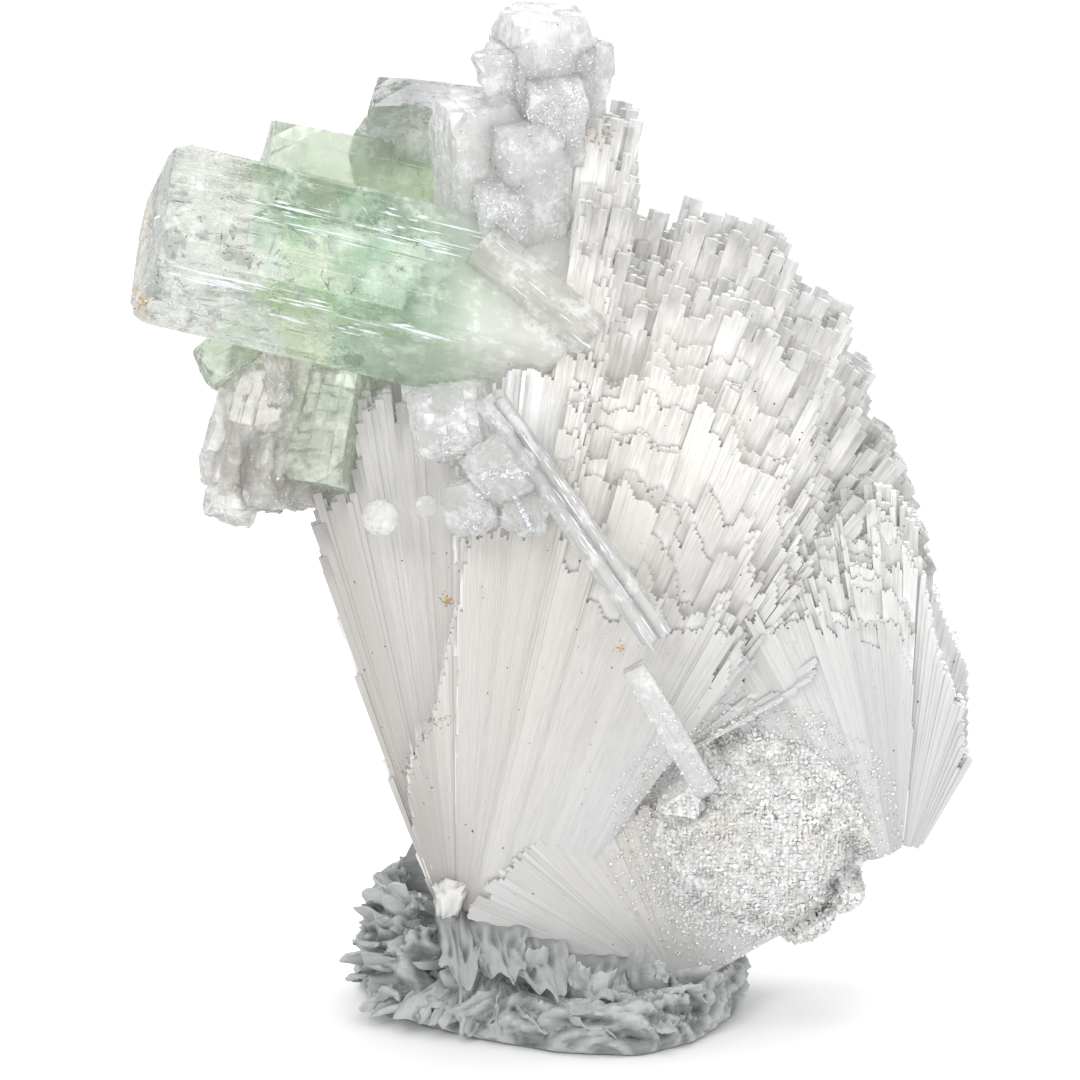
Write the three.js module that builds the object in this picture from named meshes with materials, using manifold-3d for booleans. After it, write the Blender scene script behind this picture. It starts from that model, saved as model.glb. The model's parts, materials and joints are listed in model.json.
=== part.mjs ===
// Green and colourless apophyllite on a radiating spray of scolecite, standing in a lump of grey putty.
// Millimetres, +Z up. The display face looks towards -Y. The origin is on the putty's flat underside.
import * as THREE from "three";
import { ConvexGeometry } from "three/addons/geometries/ConvexGeometry.js";
import { mergeVertices } from "three/addons/utils/BufferGeometryUtils.js";
import Module from "manifold-3d";

const wasm = await Module();
wasm.setup();

// ---------------------------------------------------------------- driving dimensions

const GAP = 0.5; // how far a crystal's socket stands off the crystal, measured at its corners
const BUNDLE_START = 0.5; // share of a bundle's length at which it leaves the core
const CUT_SLOPE = 1.3; // how far a cut corner runs down the edge of a crystal, as a share of the cut
const TIP_RISE = 0.28; // height of a blunt tip, as a share of the bundle's width

// The spray's outline, x and z, clockwise from its lower left. It has no symmetry to build it from.
const SPRAY_OUTLINE = [
  [-13, 7], [-13.5, 16], [-19.3, 33.4], [-25.3, 55.4], [-21, 64], [-16, 74], [-11.5, 84],
  [-8, 93], [-2, 101], [6.6, 101.6], [10.4, 100.2], [10.8, 89.8], [14.7, 88.8], [16.9, 90.8],
  [18.6, 88.5], [24.1, 88.7], [27.4, 85], [28.7, 81], [34.5, 78.7], [33.8, 74.5], [36.7, 71],
  [36.9, 65.4], [39, 64], [41, 59.1], [42.8, 53.8], [44.3, 47.2], [46.2, 42.5], [48.1, 38.7],
  [48.3, 28.4], [45.1, 24.6], [43.1, 17.9], [38.9, 14.7], [33.9, 10.1], [27.8, 5.1], [16, -1],
];

// Three fans of needles make the spray. Angles are in degrees from +X, counted towards +Z.
// root: where the needles at each angle start, [angle, x, z].
// length: how far they go, [angle, mm], and never past the outline.
// layers: front to back. rootY and tipY are a layer's depth at its two ends, bundle is the width of
// its bundles, and reach is the share of the length that it covers, [angle, share].
const MAIN_FAN = {
  seed: 1,
  angles: [30, 110.5],
  root: [
    [30, 1.8, 22.7], [50, 2.3, 16.8], [57, 2.3, 12], [64, 1.4, 10.8],
    [78, -7.9, 10.2], [90, -9.4, 9.6], [110, -10.5, 9],
  ],
  length: [[30, 34], [34, 50], [40, 100]],
  layers: [
    {
      rootY: -3, tipY: -10.2, bundle: 5.6,
      reach: [[36, 0], [40, 0.4], [52, 0.48], [70, 0.5], [84, 0.62], [89, 0.5], [90, 0]],
    },
    {
      rootY: -1.6, tipY: -7.4, bundle: 5.6,
      reach: [[30, 0.6], [44, 0.58], [56, 0.66], [84, 0.76], [90, 0.46], [106, 0.3], [107, 0]],
    },
    {
      rootY: 0, tipY: -3, bundle: 5.6,
      reach: [[30, 0.9], [44, 0.76], [52, 0.82], [84, 0.87], [92, 0.74], [101, 0.96], [110, 0.98]],
    },
    { rootY: 2.6, tipY: 2, bundle: 6.2, reach: [[30, 1], [44, 0.91], [90, 0.95], [110, 1]] },
    { rootY: 6, tipY: 8, bundle: 6.6, reach: [[30, 1], [110, 1]] },
    { rootY: 9.5, tipY: 14, bundle: 8, reach: [[30, 0.94], [98, 0.93], [110, 1]] },
    { rootY: 13, tipY: 20.5, bundle: 9.5, reach: [[30, 0.76], [44, 0.68], [98, 0.7], [110, 0.98]] },
  ],
};
const RIGHT_FAN = {
  seed: 2,
  angles: [62, 156],
  root: [[62, 40.4, 13.6], [130, 40.4, 13.6]],
  length: [
    [60, 12], [66, 21], [74, 27.5], [80, 33], [86, 40.5], [92, 47],
    [98, 48], [106, 47], [114, 46.5], [122, 42], [130, 33], [160, 22],
  ],
  layers: [
    {
      rootY: -2.4, tipY: -7.6, bundle: 5.4,
      reach: [[84, 0], [88, 0.62], [112, 0.78], [132, 0.84], [134, 0]],
    },
    { rootY: 0, tipY: -3, bundle: 5.8, reach: [[62, 0.8], [90, 0.9], [112, 0.94], [156, 0.94]] },
    { rootY: 4, tipY: 3, bundle: 6.2, reach: [[62, 1], [156, 1]] },
    { rootY: 8, tipY: 10, bundle: 7, reach: [[62, 0.96], [156, 0.96]] },
    { rootY: 12, tipY: 17, bundle: 9, reach: [[62, 0.72], [156, 0.76]] },
  ],
};
const LOWER_FAN = {
  seed: 3,
  angles: [30, 158],
  root: [[30, 16, 2.8], [158, 16, 2.8]],
  length: [[30, 19], [40, 23], [60, 26], [91, 22], [110, 23], [125, 24], [158, 26]],
  layers: [
    { rootY: -3.6, tipY: -4.6, bundle: 6, reach: [[30, 0.9], [88, 0.96], [158, 0.98]] },
    { rootY: 2, tipY: 3.5, bundle: 8, reach: [[30, 1], [158, 1]] },
    { rootY: 8, tipY: 12, bundle: 9, reach: [[30, 0.95], [158, 0.9]] },
  ],
};

// ---------------------------------------------------------------- small tools

const { degToRad, lerp, mapLinear } = THREE.MathUtils;
const vec = (x, y, z) => new THREE.Vector3(x, y, z);

// A repeatable number from 0 to 1 for any three counters.
function chance(a, b, c) {
  const s = Math.sin(a * 12.9898 + b * 78.233 + c * 37.719) * 43758.5453;
  return s - Math.floor(s);
}

// The value in a table's column at x, on straight lines between its rows.
function along(table, x, column = 1) {
  if (x <= table[0][0]) return table[0][column];
  for (let i = 1; i < table.length; i++) {
    const [low, high] = [table[i - 1], table[i]];
    if (x <= high[0]) return mapLinear(x, low[0], high[0], low[column], high[column]);
  }
  return table.at(-1)[column];
}

function hull(points) {
  const geometry = new ConvexGeometry(points);
  geometry.deleteAttribute("normal");
  const merged = mergeVertices(geometry, 1e-4);
  return new wasm.Manifold(
    new wasm.Mesh({
      numProp: 3,
      vertProperties: new Float32Array(merged.attributes.position.array),
      triVerts: new Uint32Array(merged.index.array),
    }),
  );
}

// The same hull with every corner pushed out by GAP: the socket that the shape sits in.
function socket(points) {
  const shifts = [-GAP, GAP].flatMap((d) => [vec(d, 0, 0), vec(0, d, 0), vec(0, 0, d)]);
  return hull(points.flatMap((point) => shifts.map((shift) => point.clone().add(shift))));
}

// Joined in pairs, so that no single step is large.
function join(solids) {
  let all = solids;
  while (all.length > 1) {
    const next = [];
    for (let i = 0; i < all.length; i += 2) next.push(all[i + 1] ? all[i].add(all[i + 1]) : all[i]);
    all = next;
  }
  return all[0];
}

// A cut can leave loose chips. Only the main piece is kept.
const mainPiece = (solid) => solid.decompose().reduce((a, b) => (b.volume() > a.volume() ? b : a));

function meshOf(name, solid, material) {
  const { vertProperties, triVerts } = solid.getMesh();
  const geometry = new THREE.BufferGeometry()
    .setAttribute("position", new THREE.BufferAttribute(vertProperties, 3))
    .setIndex(new THREE.BufferAttribute(triVerts, 1));
  geometry.computeVertexNormals();
  const mesh = new THREE.Mesh(geometry, material);
  mesh.name = name;
  return mesh;
}

// ---------------------------------------------------------------- the scolecite spray

// How far a needle from the root can go at this angle before it leaves the outline.
function lengthToOutline([x, z], angle) {
  const [dx, dz] = [Math.cos(degToRad(angle)), Math.sin(degToRad(angle))];
  const hits = SPRAY_OUTLINE.map(([ax, az], i) => {
    const [bx, bz] = SPRAY_OUTLINE[(i + 1) % SPRAY_OUTLINE.length];
    const [ex, ez] = [bx - ax, bz - az];
    const cross = dx * ez - dz * ex;
    const edgeShare = ((ax - x) * dz - (az - z) * dx) / cross;
    return edgeShare >= 0 && edgeShare <= 1 ? ((ax - x) * ez - (az - z) * ex) / cross : 0;
  });
  return Math.max(...hits);
}

function lengthAt(fan, angle) {
  const root = [along(fan.root, angle, 1), along(fan.root, angle, 2)];
  return Math.min(along(fan.length, angle), lengthToOutline(root, angle));
}

// The point `share` of the way along a needle of one layer. `side` and `depth` move it off the needle's axis.
function pointIn(fan, layer, angle, share, side = 0, depth = 0) {
  const r = lengthAt(fan, angle) * share;
  const [c, s] = [Math.cos(degToRad(angle)), Math.sin(degToRad(angle))];
  const y = lerp(layer.rootY, layer.tipY, share / Math.max(0.3, along(layer.reach, angle)));
  return vec(
    along(fan.root, angle, 1) + r * c - side * s,
    y + depth,
    along(fan.root, angle, 2) + r * s + side * c,
  );
}

// One bundle of needles: a bar that widens outwards and ends in a low, lopsided tip.
function bundle(fan, layer, angle, share, width, thickness, lean) {
  const length = lengthAt(fan, angle) * share;
  const points = [pointIn(fan, layer, angle, share, lean * width * 0.5)];
  for (const side of [-width / 2, width / 2])
    for (const depth of [-thickness / 2, thickness / 2]) {
      const drop = (TIP_RISE * width + side * lean * 0.4) / length;
      points.push(pointIn(fan, layer, angle, share * BUNDLE_START, side * 0.5, depth * 0.8));
      points.push(pointIn(fan, layer, angle, share * (1 - drop), side, depth));
    }
  return points;
}

function bundlesOf(fan) {
  const { seed, angles, layers } = fan;
  const made = [];
  layers.forEach((layer, k) => {
    const ahead = layers[Math.max(0, k - 1)].tipY;
    const behind = layers[Math.min(layers.length - 1, k + 1)].tipY;
    const spacing = (behind - ahead) / (k > 0 && k < layers.length - 1 ? 2 : 1);
    let angle = angles[0] + chance(seed, k, 0);
    for (let i = 0; angle < angles[1]; i++) {
      const width = layer.bundle * lerp(0.75, 1.25, chance(seed, k, i + 0.5));
      const reach = along(layer.reach, angle);
      const step = THREE.MathUtils.radToDeg(width / Math.max(12, lengthAt(fan, angle) * reach));
      if (reach > 0.2) {
        const share = reach * (1 - 0.06 * chance(seed + 10, k, i));
        const lift = lerp(-0.4, 0.4, chance(seed + 20, k, i));
        const lean = chance(seed + 30, k, i) - 0.5;
        const lifted = { ...layer, tipY: layer.tipY + lift };
        made.push(bundle(fan, lifted, angle + step / 2, share, width * 1.12, spacing * 1.15, lean));
      }
      angle += step;
    }
  });
  return made;
}

// The solid heart of a fan, from which its bundles stand out.
function heartOf(fan, share, layers) {
  const points = [];
  for (let i = 0; i <= 7; i++)
    for (const k of layers) {
      const angle = lerp(...fan.angles, i / 7);
      const layer = fan.layers[k];
      points.push(pointIn(fan, layer, angle, 0));
      points.push(pointIn(fan, layer, angle, share * along(layer.reach, angle)));
    }
  return points;
}

const sprayParts = [
  heartOf(MAIN_FAN, 0.75, [2, 4, 6]),
  heartOf(RIGHT_FAN, 0.8, [1, 2, 4]),
  heartOf(LOWER_FAN, 0.9, [0, 2]),
  ...bundlesOf(MAIN_FAN),
  ...bundlesOf(RIGHT_FAN),
  ...bundlesOf(LOWER_FAN),
];

// ---------------------------------------------------------------- the crystals on it

// A four-sided crystal from root to tip. At spin 0 one side faces the front, at 45 an edge does.
// cut is how far the tip's four corners are cut back, as apophyllite's pyramid faces do.
function prism({ root, tip, width, depth = width, spin = 0, cut = 1 }) {
  const [from, to] = [vec(...root), vec(...tip)];
  const axis = to.clone().sub(from).normalize();
  const front = Math.abs(axis.y) > 0.8 ? vec(0, 0, 1) : vec(0, -1, 0);
  front.projectOnPlane(axis).normalize().applyAxisAngle(axis, degToRad(spin));
  const across = axis.clone().cross(front);
  const points = [];
  function corner(end, inward, u, v) {
    const point = end.clone().addScaledVector(axis, inward);
    points.push(point.addScaledVector(across, u).addScaledVector(front, v));
  }
  for (const a of [-1, 1])
    for (const b of [-1, 1]) {
      const [u, v] = [(a * width) / 2, (b * depth) / 2];
      corner(from, 0, u, v);
      corner(to, -cut * CUT_SLOPE, u, v);
      if (cut > 0) {
        corner(to, 0, u - a * cut, v);
        corner(to, 0, u, v - b * cut);
      }
    }
  return points;
}

// A round tabular crystal that lies against the spray.
function disc({ centre, radius, thickness }) {
  const points = [];
  for (let i = 0; i < 10; i++) {
    const turn = (i * Math.PI) / 5;
    const ring = (r, y) => points.push(vec(r * Math.cos(turn), y, r * Math.sin(turn)).add(vec(...centre)));
    ring(radius, 0);
    ring(radius * 0.86, -thickness / 2);
    ring(radius * 0.86, thickness / 2);
  }
  return points;
}

const CLEAR = { color: 0xe9edec, roughness: 0.08 };
const PALE = { color: 0xe2ddd6, roughness: 0.2 };
const GREEN = { color: 0xa9cfb2, roughness: 0.1 };

// In this order: each one makes way for those before it.
const CRYSTALS = [
  {
    name: "green_apophyllite_main",
    look: GREEN,
    parts: [prism({ root: [1, 0.6, 78.2], tip: [-41.9, -7.5, 90.4], width: 14.4, spin: 45, cut: 1.4 })],
  },
  {
    name: "clear_apophyllite_front",
    look: CLEAR,
    parts: [
      prism({ root: [-8, 0, 68], tip: [-10.4, -9.6, 69.8], width: 7.6, spin: 12, cut: 1.4 }),
      prism({ root: [-4, -3, 64], tip: [-4, -12.6, 65.2], width: 6.6, spin: 35, cut: 1.6 }),
      prism({ root: [-6, -4, 60], tip: [-8, -12, 60.6], width: 5.4, spin: 20, cut: 1.4 }),
      prism({ root: [-2, -4, 60], tip: [-1.6, -12.4, 60.2], width: 4.8, spin: -10, cut: 1.2 }),
    ],
  },
  {
    name: "clear_prism_pair",
    look: CLEAR,
    parts: [
      prism({ root: [-6.2, -11, 72.6], tip: [12.4, -13, 45.9], width: 1.7, spin: 40, cut: 0.3 }),
      prism({ root: [-4.6, -10.6, 72.4], tip: [13.6, -12.6, 46.6], width: 1.7, spin: 10, cut: 0.3 }),
    ],
  },
  {
    name: "skeletal_blade",
    look: CLEAR,
    parts: [prism({ root: [10.2, -12, 42.8], tip: [18.4, -11, 28.2], width: 2.5, depth: 2, cut: 0.5 })],
  },
  {
    name: "clear_prism_upper",
    look: PALE,
    parts: [prism({ root: [-6.4, -5.6, 88.6], tip: [5.8, -8.2, 78.6], width: 3.8, spin: 35, cut: 0.8 })],
  },
  {
    name: "clear_apophyllite_shoulder",
    look: CLEAR,
    parts: [
      prism({ root: [-6, 4, 88], tip: [-6.8, 1.5, 103.4], width: 8.4, spin: 20, cut: 2.2 }),
      prism({ root: [-1.6, 3, 84], tip: [-2.2, 0, 101.6], width: 7.6, spin: 38, cut: 2 }),
      prism({ root: [-4, 0, 88], tip: [-4.4, -4.4, 94], width: 5, spin: 8, cut: 0.8 }),
    ],
  },
  {
    name: "clear_apophyllite_top",
    look: CLEAR,
    parts: [
      prism({ root: [0, 6, 97], tip: [0.4, 4, 112.6], width: 8.6, spin: 25, cut: 2.4 }),
      prism({ root: [-1, 5, 98], tip: [-4.4, 2, 108.8], width: 5.6, spin: 5, cut: 1.6 }),
      prism({ root: [2, 6, 98], tip: [5, 5, 109.4], width: 5.8, spin: 40, cut: 1.6 }),
      prism({ root: [1, 3, 97], tip: [1.6, -0.4, 105.6], width: 6, spin: 15, cut: 1.8 }),
      prism({ root: [1, 9, 97], tip: [0.8, 10.5, 108], width: 7, spin: 30, cut: 2 }),
    ],
  },
  {
    name: "green_apophyllite_lower",
    look: GREEN,
    parts: [prism({ root: [-22, 4, 76], tip: [-24.8, -1.6, 60.6], width: 8, spin: 20, cut: 2.2 })],
  },
  {
    name: "green_apophyllite_small",
    look: GREEN,
    parts: [prism({ root: [-28, 6, 77], tip: [-37.2, 2.4, 72.8], width: 4.8, spin: 30, cut: 1.2 })],
  },
  {
    name: "green_apophyllite_back",
    look: GREEN,
    parts: [
      prism({ root: [-4, 16, 86], tip: [-31.2, 13, 92.4], width: 13.4, depth: 12, spin: 12, cut: 4 }),
      prism({ root: [-14, 18, 84], tip: [-16, 14.4, 98.6], width: 9, spin: 35, cut: 2.6 }),
    ],
  },
  {
    name: "pale_apophyllite_left",
    look: PALE,
    parts: [
      prism({ root: [-27, 6, 76], tip: [-32.4, 1.4, 58.6], width: 10, spin: 25, cut: 2.4 }),
      prism({ root: [-32, 2, 66], tip: [-34.6, -2.4, 57], width: 5, spin: 5, cut: 1.2 }),
      prism({ root: [-30, 0, 66], tip: [-30.6, -3.4, 58.4], width: 4.2, spin: 40, cut: 1 }),
      prism({ root: [-28, 4, 66], tip: [-27.2, 0.2, 57.8], width: 4.6, spin: 15, cut: 1.2 }),
      prism({ root: [-25, 5, 66], tip: [-23, 1.2, 58.2], width: 4, spin: 30, cut: 1 }),
      prism({ root: [-29, -1, 76], tip: [-28.7, -3.4, 70], width: 2.2, spin: 10, cut: 0.5 }),
    ],
  },
  {
    name: "smoky_apophyllite_back",
    look: { color: 0xb9b9ba, roughness: 0.12 },
    parts: [prism({ root: [-3, 13, 97.4], tip: [-18.8, 15, 99], width: 9, depth: 8, spin: 15, cut: 3 })],
  },
  {
    name: "disc_crystal_large",
    look: CLEAR,
    parts: [disc({ centre: [-17.5, -6, 58.2], radius: 2.2, thickness: 1.6 })],
  },
  {
    name: "disc_crystal_small",
    look: CLEAR,
    parts: [disc({ centre: [-12.4, -6.6, 59.6], radius: 1.4, thickness: 1.2 })],
  },
];

// The crust of small crystals at the lower right: a lumpy sheet with stubby prisms grown out of it in rows.
// Each row: its height, the x of its two ends, and how far forward it stands.
const CRUST_ROWS = [
  { z: 11.4, left: 19, right: 29, y: -5.6 },
  { z: 15.6, left: 17.4, right: 33, y: -7 },
  { z: 20, left: 16.6, right: 34.6, y: -8 },
  { z: 24.4, left: 16.4, right: 32.6, y: -8.6 },
  { z: 28.6, left: 17, right: 30, y: -8.8 },
  { z: 32, left: 20, right: 27, y: -8.6 },
];
const CRUST_PITCH = 4.4;

function crustParts() {
  const sheet = CRUST_ROWS.flatMap(({ z, left, right, y }) =>
    [left, right].flatMap((x) => [vec(x, y + 1.4, z), vec(x, y + 7, z)]),
  );
  const stubs = CRUST_ROWS.flatMap(({ z, left, right, y }, row) => {
    const count = Math.round((right - left) / CRUST_PITCH);
    return Array.from({ length: count + 1 }, (_, i) => {
      const edge = (2 * i) / count - 1; // -1 at the row's left end, 1 at its right
      const x = lerp(left, right, i / count);
      const bulge = 1.2 * (1 - edge ** 2) + 0.6 * chance(4, row, i);
      const tip = [x + edge * 1.2, y - bulge, z + lerp(-1.2, 1.2, chance(5, row, i))];
      const width = lerp(3.4, 4.8, chance(6, row, i));
      return prism({ root: [x, y + 4, z], tip, width, spin: 90 * chance(7, row, i), cut: 0 });
    });
  });
  return [sheet, ...stubs];
}

// ---------------------------------------------------------------- the putty

// Lumps pressed together: centre, half width, half depth and height, all standing on z = 0.
const LUMPS = [
  { x: 2, y: 3, rx: 17, ry: 11, height: 5 },
  { x: -12, y: 0, rx: 8, ry: 8, height: 11 },
  { x: -10, y: 11, rx: 9, ry: 9, height: 15 },
  { x: -15, y: 6, rx: 6, ry: 8, height: 13.4 },
  { x: 0, y: -4, rx: 10, ry: 8, height: 7 },
  { x: 3, y: 13, rx: 12, ry: 8, height: 13 },
  { x: 8, y: -9, rx: 9, ry: 8, height: 5.4 },
  { x: 15, y: -4, rx: 7, ry: 9, height: 6 },
  { x: 15, y: 9, rx: 7, ry: 8, height: 10 },
];

function lump({ x, y, rx, ry, height }, index) {
  const levels = [[0, 0.94], [0.45, 1], [1, 0.62]];
  return levels.flatMap(([up, wide], level) =>
    Array.from({ length: 8 }, (_, i) => {
      const turn = ((i + level / 2) * Math.PI) / 4;
      const r = wide * lerp(0.88, 1.1, chance(index, level, i));
      return vec(x + rx * r * Math.cos(turn), y + ry * r * Math.sin(turn), height * up);
    }),
  );
}

// The rolled lip along the front and the right, from left to right.
const LIP = [
  { x: -13, y: -6, r: 2.6, height: 7 },
  { x: -6, y: -11, r: 2.8, height: 5 },
  { x: 3, y: -15.4, r: 3, height: 4.6 },
  { x: 10, y: -16.4, r: 3, height: 5 },
  { x: 16, y: -12, r: 3, height: 6 },
  { x: 20, y: -5, r: 2.6, height: 8.4 },
  { x: 21.4, y: 2, r: 2.2, height: 9.6 },
];

function lipPost({ x, y, r, height }) {
  const levels = [[0, 0.8], [0.4, 1], [1, 0.45]];
  return levels.flatMap(([up, wide]) =>
    Array.from({ length: 6 }, (_, i) => {
      const turn = (i * Math.PI) / 3;
      return vec(x + r * wide * Math.cos(turn), y + r * wide * Math.sin(turn), height * up);
    }),
  );
}

const lipParts = LIP.slice(1).map((post, i) => [...lipPost(LIP[i]), ...lipPost(post)]);

// Torn flaps that point outwards, as leaves do: where each is rooted, where it ends and how wide it is.
const FLAPS = [
  { from: [-13, -3, 6], to: [-22.6, -4, 3.4], width: 5 },
  { from: [-13, 1, 8], to: [-21.8, -1, 6.6], width: 5 },
  { from: [-13, -5, 4], to: [-19.4, -8, 1.6], width: 4.4 },
  { from: [-14, 4, 10], to: [-20.4, 3, 11.4], width: 4.6 },
  { from: [-10, -7, 4], to: [-14.6, -11.4, 1.4], width: 4.6 },
  { from: [-12, 0, 9], to: [-14, -4, 14], width: 4.6 },
  { from: [0, -9, 4], to: [-1, -13, 8], width: 4 },
  { from: [14, -9, 4], to: [13, -12.4, 8], width: 4 },
];

function flap({ from, to, width }) {
  const [root, tip] = [vec(...from), vec(...to)];
  const across = tip.clone().sub(root).cross(vec(0, 0, 1)).setLength(width / 2);
  const middle = root.clone().lerp(tip, 0.5).add(vec(0, 0, 0.9));
  const thick = vec(0, 0, 0.8);
  const section = (at) => [at.clone().add(across), at.clone().sub(across), at.clone().sub(thick)];
  return [...section(root), ...section(middle), middle.clone().add(thick), tip, tip.clone().add(thick)];
}

// The crater that the spray's foot has pressed: one simple hollow around all of it below FOOT_TOP.
const FOOT_TOP = 17;

function craterUnder(solid) {
  const corners = [-1, 1].flatMap((x) => [-1, 1].flatMap((y) => [0, 1].map((z) => vec(x, y, z))));
  const box = hull(corners.map((corner) => corner.multiply(vec(100, 100, FOOT_TOP))));
  const { vertProperties } = solid.intersect(box).getMesh();
  const points = [];
  for (let i = 0; i < vertProperties.length; i += 3) points.push(vec(...vertProperties.subarray(i, i + 3)));
  return socket(points);
}

// ---------------------------------------------------------------- the group

const specimen = new THREE.Group();
const taken = [];

for (const { name, look, parts } of CRYSTALS) {
  const whole = join(parts.map(hull));
  const solid = taken.length ? mainPiece(whole.subtract(join(taken))) : whole;
  specimen.add(meshOf(name, solid, new THREE.MeshStandardMaterial(look)));
  taken.push(...parts.map((points) => socket(points)));
}

const crust = crustParts();
const crystalSockets = join(taken);
const crustSolid = mainPiece(join(crust.map(hull)).subtract(crystalSockets));
specimen.add(meshOf("drusy_crust", crustSolid, new THREE.MeshStandardMaterial(CLEAR)));

const sprayMaterial = new THREE.MeshStandardMaterial({ color: 0xeeeae2, roughness: 0.4 });
const crustSockets = join(crust.map((points) => socket(points)));
const spray = mainPiece(join(sprayParts.map(hull)).subtract(crystalSockets).subtract(crustSockets));
specimen.add(meshOf("scolecite_spray", spray, sprayMaterial));

const puttyMaterial = new THREE.MeshStandardMaterial({ color: 0x9aa2a4, roughness: 0.6 });
const puttyParts = [...LUMPS.map(lump), ...lipParts, ...FLAPS.map(flap)];
const putty = mainPiece(join(puttyParts.map(hull)).subtract(craterUnder(join([spray, crustSolid]))));
specimen.add(meshOf("putty_mount", putty, puttyMaterial));

export default specimen;
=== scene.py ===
import json
import math

import bpy
from bpy.props import FloatProperty, FloatVectorProperty, PointerProperty
from mathutils import Matrix, Vector, noise
from mathutils.bvhtree import BVHTree

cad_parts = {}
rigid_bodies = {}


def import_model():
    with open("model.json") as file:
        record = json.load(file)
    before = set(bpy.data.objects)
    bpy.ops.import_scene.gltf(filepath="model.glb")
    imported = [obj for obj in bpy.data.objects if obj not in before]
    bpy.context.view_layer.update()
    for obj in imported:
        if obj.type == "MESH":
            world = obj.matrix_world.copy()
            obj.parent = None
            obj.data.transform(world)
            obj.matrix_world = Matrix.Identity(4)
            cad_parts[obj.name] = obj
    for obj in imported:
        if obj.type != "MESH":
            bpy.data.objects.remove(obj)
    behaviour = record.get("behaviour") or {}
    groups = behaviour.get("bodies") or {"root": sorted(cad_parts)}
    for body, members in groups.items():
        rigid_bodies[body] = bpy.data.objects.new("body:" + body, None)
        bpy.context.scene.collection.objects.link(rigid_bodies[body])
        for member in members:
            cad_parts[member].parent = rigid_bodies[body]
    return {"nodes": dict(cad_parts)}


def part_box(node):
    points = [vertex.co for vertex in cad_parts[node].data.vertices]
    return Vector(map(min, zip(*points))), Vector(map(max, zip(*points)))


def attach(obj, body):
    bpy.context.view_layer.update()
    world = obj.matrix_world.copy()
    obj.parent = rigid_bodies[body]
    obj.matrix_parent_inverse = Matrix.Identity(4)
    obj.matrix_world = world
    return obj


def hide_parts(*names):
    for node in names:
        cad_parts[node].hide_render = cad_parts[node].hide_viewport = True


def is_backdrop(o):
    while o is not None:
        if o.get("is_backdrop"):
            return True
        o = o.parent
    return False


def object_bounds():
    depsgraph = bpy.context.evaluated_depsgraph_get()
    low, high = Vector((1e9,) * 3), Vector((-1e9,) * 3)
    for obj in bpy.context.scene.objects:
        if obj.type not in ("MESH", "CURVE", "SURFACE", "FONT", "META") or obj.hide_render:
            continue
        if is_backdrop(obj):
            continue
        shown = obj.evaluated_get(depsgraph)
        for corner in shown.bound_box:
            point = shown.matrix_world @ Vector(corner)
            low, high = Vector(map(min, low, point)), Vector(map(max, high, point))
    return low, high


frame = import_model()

CAD_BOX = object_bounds()

bl_info = {
    "name": "Apophyllite Specimen",
    "version": (1, 0, 0),
    "blender": (4, 5, 0),
    "location": "3D View > Sidebar > Specimen",
    "description": "Dresses a packed apophyllite specimen with needles, crystals, crust and putty",
    "category": "Add Mesh",
}

MM = 0.001


# ------------------------------------------------------------------ shader wiring


class Wire:
    """An output socket that takes Python's arithmetic, each operator as one Math node."""

    def __init__(self, finish, socket):
        self.finish = finish
        self.socket = socket

    def math(self, operation, *values):
        return self.finish.add("Math", {"operation": operation}, *values)

    def __add__(self, other):
        return self.math("ADD", self, other)

    def __sub__(self, other):
        return self.math("SUBTRACT", self, other)

    def __rsub__(self, other):
        return self.math("SUBTRACT", other, self)

    def __mul__(self, other):
        return self.math("MULTIPLY", self, other)

    def __abs__(self):
        return self.math("ABSOLUTE", self)

    __radd__ = __add__
    __rmul__ = __mul__

    def step(self, low, high):
        """0 below low, 1 above high, and a smooth rise between them."""
        settings = {"interpolation_type": "SMOOTHSTEP"}
        return self.finish.add("MapRange", settings, self, low, high, 0.0, 1.0)


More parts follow.
